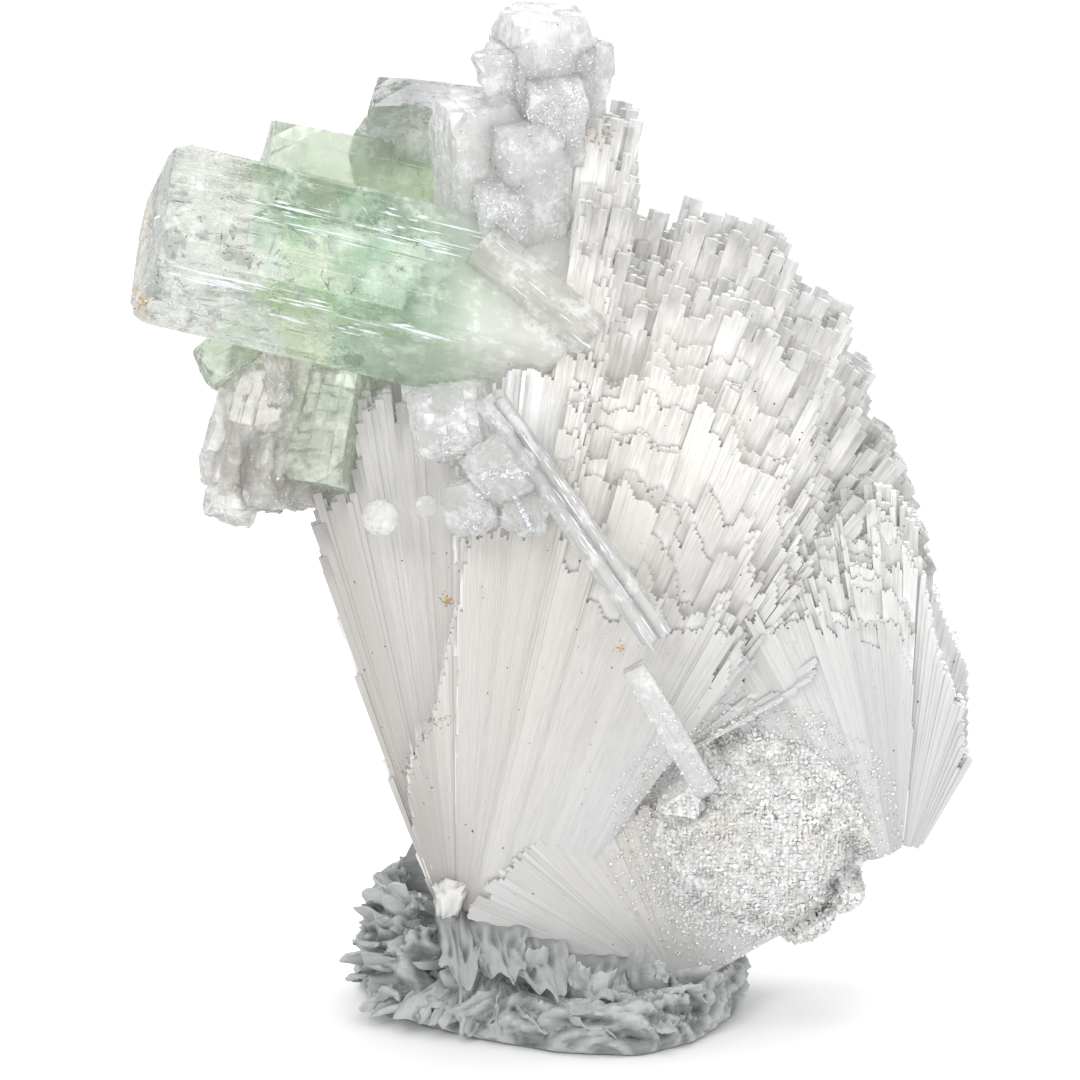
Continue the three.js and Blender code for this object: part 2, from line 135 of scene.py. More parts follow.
class Finish:
    """A material, or a world, while its nodes are being laid."""

    def __init__(self, name, kind="material"):
        self.kind = kind
        self.owner = getattr(bpy.data, kind + "s").new(name)
        self.owner.use_nodes = True
        self.tree = self.owner.node_tree
        self.tree.nodes.clear()

    def add(self, kind, settings=None, *values, out=0, **named):
        """Adds a node with its settings, and the values or wires of its sockets. Gives an output."""
        node = self.tree.nodes.new("ShaderNode" + kind)
        for key, value in (settings or {}).items():
            setattr(node, key, value)
        plain = [s for s in node.inputs if s.enabled]
        pairs = list(zip(plain, values)) + [(self.input(node, key), v) for key, v in named.items()]
        for socket, value in pairs:
            if isinstance(value, Wire):
                self.tree.links.new(value.socket, socket)
            elif value is not None:
                socket.default_value = value
        outputs = [s for s in node.outputs if s.enabled]
        return Wire(self, node.outputs[out] if isinstance(out, str) else outputs[out])

    @staticmethod
    def input(node, key):
        name = key.replace("_", " ")
        return next(s for s in node.inputs if s.enabled and s.name.lower() == name.lower())

    def place(self, scale=(1, 1, 1), turn=(0, 0, 0)):
        """Object coordinates in millimetres, scaled and turned."""
        coordinates = self.add("TexCoord", out="Object")
        return self.add("Mapping", None, coordinates, None, turn, tuple(s / MM for s in scale))

    def noise(self, vector, scale, detail=2.0, roughness=0.5):
        return self.add("TexNoise", None, Vector=vector, Scale=scale, Detail=detail, Roughness=roughness)

    def mix(self, factor, a, b):
        a, b = (c if isinstance(c, Wire) else (*c, 1.0) for c in (a, b))
        return self.add("Mix", {"data_type": "RGBA"}, factor, a, b)

    def blend(self, factor, a, b):
        return self.add("MixShader", None, factor, a, b)

    def bump(self, height, strength, distance):
        return self.add("Bump", None, Strength=strength, Distance=distance, Height=height)

    def finish(self, surface):
        output = self.tree.nodes.new("ShaderNodeOutput" + self.kind.title())
        self.tree.links.new(surface.socket, output.inputs["Surface"])
        return self.owner


# ------------------------------------------------------------------ mesh helpers


def deselect():
    if bpy.context.object and bpy.context.object.mode != "OBJECT":
        bpy.ops.object.mode_set(mode="OBJECT")
    bpy.ops.object.select_all(action="DESELECT")


def choose(piece):
    deselect()
    piece.select_set(True)
    bpy.context.view_layer.objects.active = piece
    return piece


def new_piece(name, vertices, faces, layers=None):
    """A mesh object from lists. layers are float attributes of its points: {name: values}."""
    mesh = bpy.data.meshes.new(name)
    mesh.from_pydata(vertices, [], faces)
    mesh.update()
    for layer, values in (layers or {}).items():
        mesh.attributes.new(layer, "FLOAT", "POINT").data.foreach_set("value", values)
    piece = bpy.data.objects.new(name, mesh)
    bpy.context.collection.objects.link(piece)
    return piece


def merged_copy(node, name):
    """A CAD node's shape as a new piece, its loose triangles joined into whole faces."""
    mesh = frame["nodes"][node].data.copy()
    mesh.materials.clear()
    piece = bpy.data.objects.new(name, mesh)
    bpy.context.collection.objects.link(piece)
    choose(piece)
    bpy.ops.object.mode_set(mode="EDIT")
    bpy.ops.mesh.select_all(action="SELECT")
    bpy.ops.mesh.remove_doubles(threshold=0.002 * MM)
    bpy.ops.mesh.dissolve_limited(angle_limit=math.radians(0.6))
    bpy.ops.object.mode_set(mode="OBJECT")
    return piece


def modify(piece, kind, **settings):
    """Adds a modifier with these settings and applies it."""
    choose(piece)
    modifier = piece.modifiers.new(kind.title(), kind)
    for key, value in settings.items():
        setattr(modifier, key, value)
    bpy.ops.object.modifier_apply(modifier=modifier.name)


def dress(piece, material, slot, *nodes):
    """Gives a finished piece its material and its body, and hides the CAD nodes that it replaces."""
    piece.data.materials.clear()
    piece.data.materials.append(material)
    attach(piece, "root")
    if nodes:
        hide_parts(*nodes)
    deselect()
    return piece


def chance(a, b, c):
    """A repeatable number from 0 to 1 for any three counters."""
    s = math.sin(a * 12.9898 + b * 78.233 + c * 37.719) * 43758.5453
    return s - math.floor(s)


def lerp(a, b, t):
    return a + (b - a) * t


def along(table, x, column=1):
    """The value in a table's column at x, on straight lines between its rows."""
    if x <= table[0][0]:
        return table[0][column]
    for low, high in zip(table, table[1:]):
        if x <= high[0]:
            return lerp(low[column], high[column], (x - low[0]) / (high[0] - low[0]))
    return table[-1][column]


# ------------------------------------------------------------------ the fans of needles

# The outline and the fans follow the source's, in millimetres and degrees. Two points of the
# outline, a few reaches and the lower fan's last angle differ a little.
SPRAY_OUTLINE = [
    (-13, 7), (-13.5, 16), (-19.3, 33.4), (-25.3, 55.4), (-25, 62), (-18, 74), (-11.5, 84),
    (-8, 93), (-2, 101), (6.6, 101.6), (10.4, 100.2), (10.8, 89.8), (14.7, 88.8), (16.9, 90.8),
    (18.6, 88.5), (24.1, 88.7), (27.4, 85), (28.7, 81), (34.5, 78.7), (33.8, 74.5), (36.7, 71),
    (36.9, 65.4), (39, 64), (41, 59.1), (42.8, 53.8), (44.3, 47.2), (46.2, 42.5), (48.1, 38.7),
    (48.3, 28.4), (45.1, 24.6), (43.1, 17.9), (38.9, 14.7), (33.9, 10.1), (27.8, 5.1), (16, -1),
]

# Where the spray is warmer, or cooler below 0: x, z and size in millimetres, and strength.
TINTS = (
    (5, 64, 16, 0.45), (-4.4, 26, 5, 1.1), (12, 24, 8, 0.7), (-15, 42, 10, 0.3),
    (34, 26, 16, -0.4), (6, 14, 9, -0.35),
)


# Layers whose tips lie in front of this depth, in millimetres, have the finest needles.
FRONT_TIPS = -4


class Layer:
    """One layer of a fan, with its depth at its two ends, in millimetres.

    reach: the share of the length that it covers, by angle. ease: how far it stands clear of the
    layer behind it, from 0 to 1, by angle."""

    def __init__(self, root_y, tip_y, reach, ease=((0, 1),)):
        self.root_y, self.tip_y, self.reach, self.ease = root_y, tip_y, reach, ease
        self.longest = max(share for angle, share in reach)


class Fan:
    """Needles that open from one root like a hand fan, in layers from front to back.

    root: where the needles at each angle start, angle, x and z. length: how far they go, by angle,
    and never past the outline. hilt: how much of them is left out at the root. broken: how uneven
    their ends are. calm: the angles between which a whole layer ends evenly, and even: how far its
    ends vary there, in the two front layers and behind them. crowded: their spacing across, as a
    share of the pitch. glassy: how clear their tips are, from the angle clear_from on."""

    RAGGED = (9, 6)

    def __init__(self, name, seed, angles, root, length, layers, hilt, broken,
                 calm=(0, 0), even=RAGGED, crowded=1, glassy=0, clear_from=0):
        self.name, self.seed, self.angles = name, seed, angles
        self.root, self.length = root, length
        self.layers = [Layer(*layer) for layer in layers]
        self.hilt, self.broken, self.calm, self.even = hilt, broken, calm, even
        self.crowded, self.glassy, self.clear_from = crowded, glassy, clear_from

    def length_at(self, angle):
        x, z = along(self.root, angle, 1), along(self.root, angle, 2)
        dx, dz = math.cos(math.radians(angle)), math.sin(math.radians(angle))
        best = 0
        for (ax, az), (bx, bz) in zip(SPRAY_OUTLINE, SPRAY_OUTLINE[1:] + SPRAY_OUTLINE[:1]):
            ex, ez = bx - ax, bz - az
            cross = dx * ez - dz * ex
            if abs(cross) > 1e-9 and 0 <= ((ax - x) * dz - (az - z) * dx) / cross <= 1:
                best = max(best, ((ax - x) * ez - (az - z) * ex) / cross)
        return min(along(self.length, angle), best)

    def root_at(self, angle):
        return Vector((along(self.root, angle, 1), 0, along(self.root, angle, 2)))

    def between(self, u):
        """The layers on both sides of place u, and how far it is past the first of them.

        Places are counted in layers from the front."""
        k = min(int(u), len(self.layers) - 2)
        return self.layers[k], self.layers[k + 1], u - k

    def reach_at(self, u, angle):
        ahead, behind, t = self.between(max(0, u))
        return lerp(along(ahead.reach, angle), along(behind.reach, angle), t)

    def point(self, u, angle, share):
        """The point `share` of the way along the needle at this angle and place u, in millimetres."""
        ahead, behind, t = self.between(u)
        part = min(1.05, share / lerp(ahead.longest, behind.longest, t))
        t = 1 - (1 - t) * along(ahead.ease, angle)
        depth = lerp(lerp(ahead.root_y, behind.root_y, t), lerp(ahead.tip_y, behind.tip_y, t), part)
        root, ray = self.root_at(angle), heading(angle)
        return root + ray * self.length_at(angle) * share + Vector((0, depth, 0))

    def sheets(self, pitch):
        """Places from front to back, close together in front and wider apart where little shows."""
        u, last = 0.0, len(self.layers) - 1
        while u < last:
            yield u
            ahead, behind, t = self.between(u)
            u += pitch * (1.15 if ahead.tip_y < FRONT_TIPS else 2.0) / (behind.tip_y - ahead.tip_y)
        yield float(last)


def heading(angle):
    return Vector((math.cos(math.radians(angle)), 0, math.sin(math.radians(angle))))


MAIN_FAN = Fan(
    "main", 1, (30, 110.5),
    root=[(30, 1.8, 22.7), (50, 2.3, 16.8), (57, 2.3, 12), (64, 1.4, 10.8),
          (78, -7.9, 10.2), (90, -9.4, 9.6), (110, -10.5, 9)],
    length=[(30, 34), (34, 50), (40, 100)],
    layers=[
        (-3, -10.2,
         [(46, 0), (50, 0.42), (56, 0.48), (70, 0.5), (84, 0.62), (89, 0.5), (90, 0)],
         [(48, 0.1), (60, 1), (78, 1), (90, 0.05)]),
        (-1.6, -7.4,
         [(30, 0.6), (44, 0.58), (56, 0.66), (84, 0.76), (90, 0.46), (106, 0.3), (111, 0.24)],
         [(92, 1), (108, 0.15)]),
        (0, -3, [(30, 0.9), (44, 0.76), (52, 0.82), (84, 0.87), (92, 0.9), (101, 1), (110, 1)]),
        (2.6, 2, [(30, 1), (44, 0.91), (90, 0.95), (110, 1)]),
        (6, 8, [(30, 1), (110, 1)]),
        (9.5, 14, [(30, 0.94), (98, 0.93), (110, 1)]),
        (13, 20.5, [(30, 0.76), (44, 0.68), (98, 0.7), (110, 0.98)]),
    ],
    hilt=2, broken=1.0, calm=(90, 180), even=(1.5, 6), glassy=1,
)
RIGHT_FAN = Fan(
    "right", 2, (62, 156),
    root=[(62, 40.4, 13.6), (130, 40.4, 13.6)],
    length=[(60, 12), (66, 21), (74, 27.5), (80, 33), (86, 40.5), (92, 47),
            (98, 48), (106, 47), (114, 46.5), (122, 42), (130, 33), (160, 22)],
    layers=[
        (-2.4, -7.6,
         [(84, 0), (88, 0.62), (112, 0.78), (132, 0.84), (134, 0)],
         [(84, 0.05), (102, 1), (118, 1), (134, 0.1)]),
        (0, -3, [(62, 0.8), (90, 0.9), (112, 0.94), (156, 0.94)]),
        (4, 3, [(62, 1), (156, 1)]),
        (8, 10, [(62, 0.96), (156, 0.96)]),
        (12, 17, [(62, 0.72), (156, 0.76)]),
    ],
    hilt=5, broken=0.55, calm=(0, 88), even=(1.5, 1.5), crowded=0.6, glassy=0.5, clear_from=84,
)
LOWER_FAN = Fan(
    "lower", 3, (30, 159),
    root=[(30, 16, 2.8), (158, 16, 2.8)],
    length=[(30, 19), (40, 23), (60, 26), (91, 22), (110, 23), (125, 24), (158, 26)],
    layers=[
        (-3.6, -4.6, [(30, 0.9), (88, 0.96), (158, 0.98)]),
        (2, 3.5, [(30, 1), (158, 1)]),
        (8, 12, [(30, 0.95), (158, 0.9)]),
    ],
    hilt=1, broken=0.2,
)


class NeedleField:
    """Needles gathered as one mesh, whose attributes say where a point is in its needle and fan."""

    def __init__(self):
        self.vertices, self.faces = [], []
        names = ("tone", "glass", "bearing", "radius", "length", "foot", "warmth")
        self.layers = {name: [] for name in names}

    def add(self, root, tip, widths, thickness, side, rise, lean, marks):
        """One four-sided needle, with a low lopsided point.

        widths: half its width at the root and at the tip. side: the direction across it. rise and
        lean: the height of its point, and how far that is to one side. marks: what the attributes
        hold, and as `spread` how far its bearing changes across it."""
        axis = (tip - root).normalized()
        u = (side - axis * side.dot(axis)).normalized()
        v = axis.cross(u)
        first = len(self.vertices)
        ends = ((root, widths[0], marks["radius"]), (tip - axis * rise, widths[1], marks["length"]))
        for centre, half, radius in ends:
            for a, b in ((1, 1), (-1, 1), (-1, -1), (1, -1)):
                self.vertices.append((centre + u * a * half + v * b * (0.6 * thickness)) * MM)
                self.mark(marks, radius, marks["bearing"] + marks["spread"] * a, centre)
        self.vertices.append((tip + u * lean * widths[1]) * MM)
        self.mark(marks, marks["length"], marks["bearing"], tip)
        self.faces.append(tuple(first + q for q in (3, 2, 1, 0)))
        for q in range(4):
            n = (q + 1) % 4
            self.faces.append((first + q, first + n, first + 4 + n, first + 4 + q))
            self.faces.append((first + 4 + q, first + 4 + n, first + 8))

    def mark(self, marks, radius, bearing, place):
        for name in ("tone", "glass", "length", "foot"):
            self.layers[name].append(marks[name])
        self.layers["radius"].append(radius)
        self.layers["bearing"].append(bearing)
        pulls = (
            pull * math.exp(-((place.x - x) ** 2 + (place.z - z) ** 2) / size ** 2)
            for x, z, size, pull in TINTS
        )
        self.layers["warmth"].append(0.4 + sum(pulls))


def crystal_guard():
    """Search trees of the crystals that needles have to keep out of."""
    trees = []
    for name, node in frame["nodes"].items():
        if name not in ("scolecite_spray", "putty_mount", "drusy_crust"):
            mesh = node.data
            mesh.calc_loop_triangles()
            vertices = [v.co for v in mesh.vertices]
            triangles = [tuple(t.vertices) for t in mesh.loop_triangles]
            low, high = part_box(name)
            trees.append((low, high, BVHTree.FromPolygons(vertices, triangles)))
    return trees


def inside_crystal(trees, point):
    """Whether a point in metres lies in one of the crystals."""
    for low, high, tree in trees:
        if all(low[i] < point[i] < high[i] for i in range(3)):
            hits, origin = 0, point.copy()
            direction = Vector((0.31, 0.17, 0.93)).normalized()
            while hits < 20:
                hit = tree.ray_cast(origin, direction)[0]
                if hit is None:
                    break
                hits += 1
                origin = hit + direction * 1e-6
            if hits % 2:
                return True
    return False


# Shares of the full length: how near ordinary needles and single long ones come to the outline,
# how little of it a needle has to cover, and where the glassy rim starts and how wide it is.
INSIDE_OUTLINE, LONE_END = 0.995, 1.01
LEAST_REACH = 0.16
RIM, RIM_WIDTH = 0.76, 0.2

# In millimetres: the least length of a needle, how far one runs on under the needles ahead of
# it, and the least half width of one.
SHORTEST, OVERLAP, THINNEST = 3, 10, 0.07


def kept_clear(guard, place, start, whole):
    """Where a needle from start to whole has to end to keep out of the crystals."""
    end = whole
    while end > 5 and inside_crystal(guard, place(end) * MM):
        end -= 2
    for share in (0.95, 0.85, 0.7, 0.55, 0.4, 0.2):
        spot = lerp(start, whole, share)
        if inside_crystal(guard, place(spot) * MM):
            end = min(end, spot - 2)
    return end


def block_at(fan, u, angle):
    """The block at a place and angle: two numbers that name it, and the radius where it ends."""
    column = math.floor(angle * 0.5 + noise.noise(Vector((angle * 0.33, fan.seed, 0))) * 1.6)
    calm = fan.calm[0] < angle < fan.calm[1]
    k = min(int(u), len(fan.layers) - 2)
    bed = k if calm else u
    full = fan.length_at(angle)
    swell = noise.noise(Vector((angle * 0.11, bed * 0.8, fan.seed * 7))) * 0.06 * fan.broken
    spread = (fan.even if calm else fan.RAGGED)[0 if k < 2 else 1]
    jitter = (chance(fan.seed + bed * 7, column, 0.2) - 0.5) * spread * fan.broken
    tilt = (chance(bed * 7, column, 0.7) - 0.5) * 1.2 * math.sin(angle * 3.1)
    end = full * (fan.reach_at(bed, angle) + swell) + jitter + tilt
    return bed, column, min(end, full * INSIDE_OUTLINE)


def fill_fan(fan, pitch, guard):
    """All the needles of one fan, as a mesh piece: sheet behind sheet, broken off in small blocks."""
    field = NeedleField()
    places = list(fan.sheets(pitch))
    for row, u in enumerate(places):
        coarse = pitch * (1 if fan.between(u)[0].tip_y < FRONT_TIPS else 2)
        seed = fan.seed * 100 + row * 0.7
        angle = fan.angles[0] + chance(seed, 0, 1)
        while angle < fan.angles[1]:
            full, reach = fan.length_at(angle), fan.reach_at(u, angle)
            crowd = (fan.root_at(angle + 1) - fan.root_at(angle - 1)).length / 2
            step = coarse * fan.crowded / (crowd + math.radians(max(10, full * reach)))
            angle += step
            if reach < LEAST_REACH:
                continue
            r = [chance(seed, angle, n) for n in range(8)]
            group, block, end = block_at(fan, u, angle)
            end = min(end - 0.35 * r[3] ** 3, full * INSIDE_OUTLINE)
            ahead = block_at(fan, places[row - 1], angle)[2] if row else 0.0
            inward = min(angle - fan.angles[0], fan.angles[1] - angle)
            bare = row in (0, len(places) - 1) or inward < 5 or ahead < full * 0.2
            start = fan.hilt if bare else max(fan.hilt, min(ahead, end) - OVERLAP)
            drift = (chance(group, block, 0.4) - 0.5) * 0.2 + (r[2] - 0.5) * 0.05

            def place(distance):
                """The point at this distance along the needle."""
                return fan.point(u, angle, distance / full) + Vector((0, drift * distance / full, 0))

            whole, end = end, kept_clear(guard, place, start, end)
            if end < start + SHORTEST:
                continue
            rim = fan.glassy * max(0, min(1, (end / full - RIM) / RIM_WIDTH))
            rim *= max(0, min(1, (angle - fan.clear_from) / 12))
            lone = rim > 0.4 and r[5] > 0.88 and end == whole
            if lone:
                end = min(end + 1.8, full * LONE_END)
            thick = lerp(0.54, 0.64, r[4]) * (1.5 if lone else 1)
            widths = [max(THINNEST, step * (crowd + math.radians(d))) * thick for d in (start, end)]
            ray = heading(angle)
            field.add(
                place(start), place(end) + Vector((0, coarse * 0.24, 0)), widths, coarse * 0.62,
                side=Vector((-ray.z, (r[6] - 0.5) * 0.2, ray.x)),
                rise=coarse * lerp(0.05, 0.3, r[7]), lean=(r[1] - 0.5) * 1.2,
                marks={
                    "tone": chance(group, block, 0.9) * 0.8 + r[3] * 0.2,
                    "glass": (1.0 if lone else rim * (0.3 + 0.7 * r[5])) if end >= whole else 0.0,
                    "bearing": angle, "spread": step * 0.5,
                    "radius": start, "length": end, "foot": ahead,
                },
            )
    return new_piece(fan.name + "_fan_needles", field.vertices, field.faces, field.layers)


# ------------------------------------------------------------------ the crystals

MAIN_RELIEF = {"strips": 11, "runs": 7, "step": 0.14, "ripple": 0.04}
STRIATED = {"strips": 9, "runs": 6, "step": 0.22, "ripple": 0.05}
PITTED = {"strips": 11, "runs": 11, "step": 0.45, "ripple": 0.34}
PLAIN = {"strips": 4, "runs": 4, "step": 0.08, "ripple": 0.02}

# These repeat the source's crystals, in millimetres and degrees: finish, slot, relief and prisms.
CRYSTALS = {
    "green_apophyllite_main": ("green main", "green_apophyllite", MAIN_RELIEF, [
        dict(root=(1, 0.6, 78.2), tip=(-41.9, -7.5, 90.4), width=14.4, spin=45, cut=1.4),
    ]),
    "clear_apophyllite_front": ("clear", "clear_apophyllite", PITTED, [
        dict(root=(-8, 0, 68), tip=(-10.4, -9.6, 69.8), width=7.6, spin=12, cut=1.4),
        dict(root=(-4, -3, 64), tip=(-4, -12.6, 65.2), width=6.6, spin=35, cut=1.6),
        dict(root=(-6, -4, 60), tip=(-8, -12, 60.6), width=5.4, spin=20, cut=1.4),
        dict(root=(-2, -4, 60), tip=(-1.6, -12.4, 60.2), width=4.8, spin=-10, cut=1.2),
    ]),
    "clear_prism_pair": ("clear", "clear_apophyllite", PLAIN, [
        dict(root=(-6.2, -11, 72.6), tip=(12.4, -13, 45.9), width=1.7, spin=40, cut=0.3),
        dict(root=(-4.6, -10.6, 72.4), tip=(13.6, -12.6, 46.6), width=1.7, spin=10, cut=0.3),
    ]),
    "skeletal_blade": ("clear", "clear_apophyllite", STRIATED, [
        dict(root=(10.2, -12, 42.8), tip=(18.4, -11, 28.2), width=2.5, depth=2, cut=0.5),
    ]),
    "clear_prism_upper": ("pale", "pale_apophyllite", STRIATED, [
        dict(root=(-6.4, -5.6, 88.6), tip=(5.8, -8.2, 78.6), width=3.8, spin=35, cut=0.8),
    ]),
    "clear_apophyllite_shoulder": ("clear", "clear_apophyllite", PITTED, [
        dict(root=(-6, 4, 88), tip=(-6.8, 1.5, 103.4), width=8.4, spin=20, cut=2.2),
        dict(root=(-1.6, 3, 84), tip=(-2.2, 0, 101.6), width=7.6, spin=38, cut=2),
        dict(root=(-4, 0, 88), tip=(-4.4, -4.4, 94), width=5, spin=8, cut=0.8),
    ]),
    "clear_apophyllite_top": ("clear", "clear_apophyllite", PITTED, [
        dict(root=(0, 6, 97), tip=(0.4, 4, 112.6), width=8.6, spin=25, cut=2.4),
        dict(root=(-1, 5, 98), tip=(-4.4, 2, 108.8), width=5.6, spin=5, cut=1.6),
        dict(root=(2, 6, 98), tip=(5, 5, 109.4), width=5.8, spin=40, cut=1.6),
        dict(root=(1, 3, 97), tip=(1.6, -0.4, 105.6), width=6, spin=15, cut=1.8),
        dict(root=(1, 9, 97), tip=(0.8, 10.5, 108), width=7, spin=30, cut=2),
    ]),
    "green_apophyllite_lower": ("green", "green_apophyllite", STRIATED, [
        dict(root=(-22, 4, 76), tip=(-24.8, -1.6, 60.6), width=8, spin=20, cut=2.2),
    ]),
    "green_apophyllite_small": ("green", "green_apophyllite", STRIATED, [
        dict(root=(-28, 6, 77), tip=(-37.2, 2.4, 72.8), width=4.8, spin=30, cut=1.2),
    ]),
    "green_apophyllite_back": ("green", "green_apophyllite", STRIATED, [
        dict(root=(-4, 16, 86), tip=(-31.2, 13, 92.4), width=13.4, depth=12, spin=12, cut=4),
        dict(root=(-14, 18, 84), tip=(-16, 14.4, 98.6), width=9, spin=35, cut=2.6),
    ]),
    "pale_apophyllite_left": ("pale", "pale_apophyllite", PITTED, [
        dict(root=(-27, 6, 76), tip=(-32.4, 1.4, 58.6), width=10, spin=25, cut=2.4),
        dict(root=(-32, 2, 66), tip=(-34.6, -2.4, 57), width=5, spin=5, cut=1.2),
        dict(root=(-30, 0, 66), tip=(-30.6, -3.4, 58.4), width=4.2, spin=40, cut=1),
        dict(root=(-28, 4, 66), tip=(-27.2, 0.2, 57.8), width=4.6, spin=15, cut=1.2),
        dict(root=(-25, 5, 66), tip=(-23, 1.2, 58.2), width=4, spin=30, cut=1),
        dict(root=(-29, -1, 76), tip=(-28.7, -3.4, 70), width=2.2, spin=10, cut=0.5),
    ]),
    "smoky_apophyllite_back": ("smoky", "smoky_apophyllite", STRIATED, [
        dict(root=(-3, 13, 97.4), tip=(-18.8, 15, 99), width=9, depth=8, spin=15, cut=3),
    ]),
}

# How far a cut corner runs down its crystal for each millimetre that it takes off the end.
CUT_SLOPE = 1.3

FORWARD = Vector((0, -1, 0))


class Shells:
    """Crystals gathered as one mesh, each a closed shell with growth steps on its faces."""

    SEAM = 0.004  # half the width of a step's riser, as a share of a face

    def __init__(self):
        self.vertices, self.faces = [], []

    def stops(self, seed, count):
        """Places from 0 to 1 where the steps are, as the two sides of each riser."""
        widths = [0.3 + chance(seed, i, 0.4) ** 2 * 2 for i in range(count)]
        total, place, stops = sum(widths), 0.0, [0.0]
        for width in widths[:-1]:
            place += width / total
            stops += [place - self.SEAM, place + self.SEAM]
        return stops + [1.0]

    def level(self, seed, i, j, step):
        """Height of the terrace at strip i and run j, never above the face."""
        broad = chance(seed, i // 8, j // 6 + 0.5)
        fine = chance(seed + 5, i // 2, j // 4 + 0.5)
        return -step * (0.6 * (broad > 0.55) + 0.4 * fine)

    def prism(self, seed, relief, root, tip, width, depth=None, spin=0, cut=1):
        """The source's prism, with its four sides and its end drawn as stepped terraces."""
        depth = depth or width
        start, end = Vector(root), Vector(tip)
        axis = (end - start).normalized()
        front = Vector((0, 0, 1)) if abs(axis.y) > 0.8 else FORWARD
        front = (front - axis * front.dot(axis)).normalized()
        front.rotate(Matrix.Rotation(math.radians(spin), 3, axis))
        across = axis.cross(front)
        length = (end - start).length
        step, ripple = relief["step"], relief["ripple"]
        us, vs = self.stops(seed + 1, relief["strips"]), self.stops(seed + 2, relief["strips"])
        ts = self.stops(seed + 3, relief["runs"])
        index = {}

        def vertex(i, j, k):
            """The vertex at grid place (i, j) of the section and k along the axis, made once."""
            if (i, j, k) in index:
                return index[i, j, k]
            u, v, t = us[i] - 0.5, vs[j] - 0.5, ts[k]
            iu, iv = i in (0, len(us) - 1), j in (0, len(vs) - 1)
            cap = k in (0, len(ts) - 1)
            sink_u = sink_v = sink_t = 0.0
            if iu and not iv and not cap:
                sink_u = self.level(seed + 11 + i, j, k, step)
            if iv and not iu and not cap:
                sink_v = self.level(seed + 31 + j, i, k, step)
            if cap and not iu and not iv:
                sink_t = self.level(seed + 51, i * 2, j * 2, step) * 0.8
            point = Vector((
                u * width + math.copysign(sink_u, -u) * -1 if iu else u * width,
                v * depth + math.copysign(sink_v, -v) * -1 if iv else v * depth,
                t * length,
            ))
            over = abs(point.x) / width + abs(point.y) / depth - (1 - cut / width)
            if over > 0:
                point.z = min(point.z, length - over * width * CUT_SLOPE)
            if k == len(ts) - 1:
                point.z += sink_t
            place = start + across * point.x + front * point.y + axis * point.z
            if ripple:
                broad, fine = (noise.noise_vector(place * scale) for scale in (0.9, 2.3))
                place += broad * ripple + fine * ripple * 0.5
            index[i, j, k] = len(self.vertices)
            self.vertices.append(place * MM)
            return index[i, j, k]

        def wall(m, n, corner):
            """One side of m by n faces. corner gives the vertex at each place of its grid."""
            for a in range(m):
                for b in range(n):
                    ring = ((a, b), (a, b + 1), (a + 1, b + 1), (a + 1, b))
                    self.faces.append(tuple(corner(*place) for place in ring))

        nu, nv, nt = len(us) - 1, len(vs) - 1, len(ts) - 1
        wall(nu, nt, lambda a, b: vertex(a, nv, nt - b))
        wall(nu, nt, lambda a, b: vertex(a, 0, b))
        wall(nv, nt, lambda a, b: vertex(nu, a, b))
        wall(nv, nt, lambda a, b: vertex(0, a, nt - b))
        wall(nu, nv, lambda a, b: vertex(a, b, nt))
        wall(nu, nv, lambda a, b: vertex(a, nv - b, 0))


def any_turn(angle, x, y, z):
    """A rotation by a random angle about a random axis, from four numbers from 0 to 1."""
    axis = Vector((x - 0.5, y - 0.5, z - 0.5)).normalized()
    return Matrix.Rotation(angle * 6.3, 3, axis)


class Flakes:
    """Small eight-sided splinters gathered as one mesh."""

    def __init__(self):
        self.vertices, self.faces = [], []

    def add(self, centre, u, v, w):
        """One splinter about a point in millimetres, with three half axes."""
        first = len(self.vertices)
        self.vertices += [(centre + side) * MM for side in (u, v, -u, -v, w, -w)]
        flip = u.cross(v).dot(w) < 0
        for q in range(4):
            a, b = first + q, first + (q + 1) % 4
            if flip:
                a, b = b, a
            self.faces += [(a, b, first + 4), (b, a, first + 5)]

    def scatter(self, seed, count, place, size, flat=0.25, narrow=0.7):
        """Splinters turned at random about the points that place(number) gives.

        size: the longest half axis in millimetres. flat and narrow: the other two as shares of it."""
        for i in range(count):
            r = [chance(seed, i, n) for n in range(7)]
            turn = any_turn(*r[:4])
            reach = size * lerp(0.35, 1.0, r[4] ** 2)
            wide = reach * narrow * lerp(0.7, 1.3, r[5])
            sides = (Vector((reach, 0, 0)), Vector((0, wide, 0)), Vector((0, 0, reach * flat)))
            spot = place(i)
            if spot is not None:
                self.add(spot, *(turn @ side for side in sides))


def surface_caster(pieces):
    """A function from x, z and side to the outermost point of these pieces, in millimetres.

    side: -1 for the front, 1 for the back. Where it meets no piece, it gives None."""
    vertices, faces = [], []
    for piece in pieces:
        first = len(vertices)
        vertices += [v.co / MM for v in piece.data.vertices]
        faces += [tuple(first + i for i in p.vertices) for p in piece.data.polygons]
    tree = BVHTree.FromPolygons(vertices, faces)

    def cast(x, z, side):
        return tree.ray_cast(Vector((x, 80 * side, z)), Vector((0, -side, 0)))[0]

    return cast


# Bright ridges on the large crystal's two front faces, thin flakes whose blue-white is a painted
# highlight on its growth ridges: from and to along it, middle across it counted in faces from the
# upper edge, spread across it, and how many.
RIDGES = (
    (0.99, 0.60, 1.02, 0.10, 26), (0.80, 0.30, 0.50, 0.22, 34), (0.78, 0.62, 0.34, 0.10, 12),
    (0.48, 0.22, 0.20, 0.12, 18), (0.44, 0.30, 1.06, 0.08, 8), (0.72, 0.45, 1.35, 0.30, 14),
)
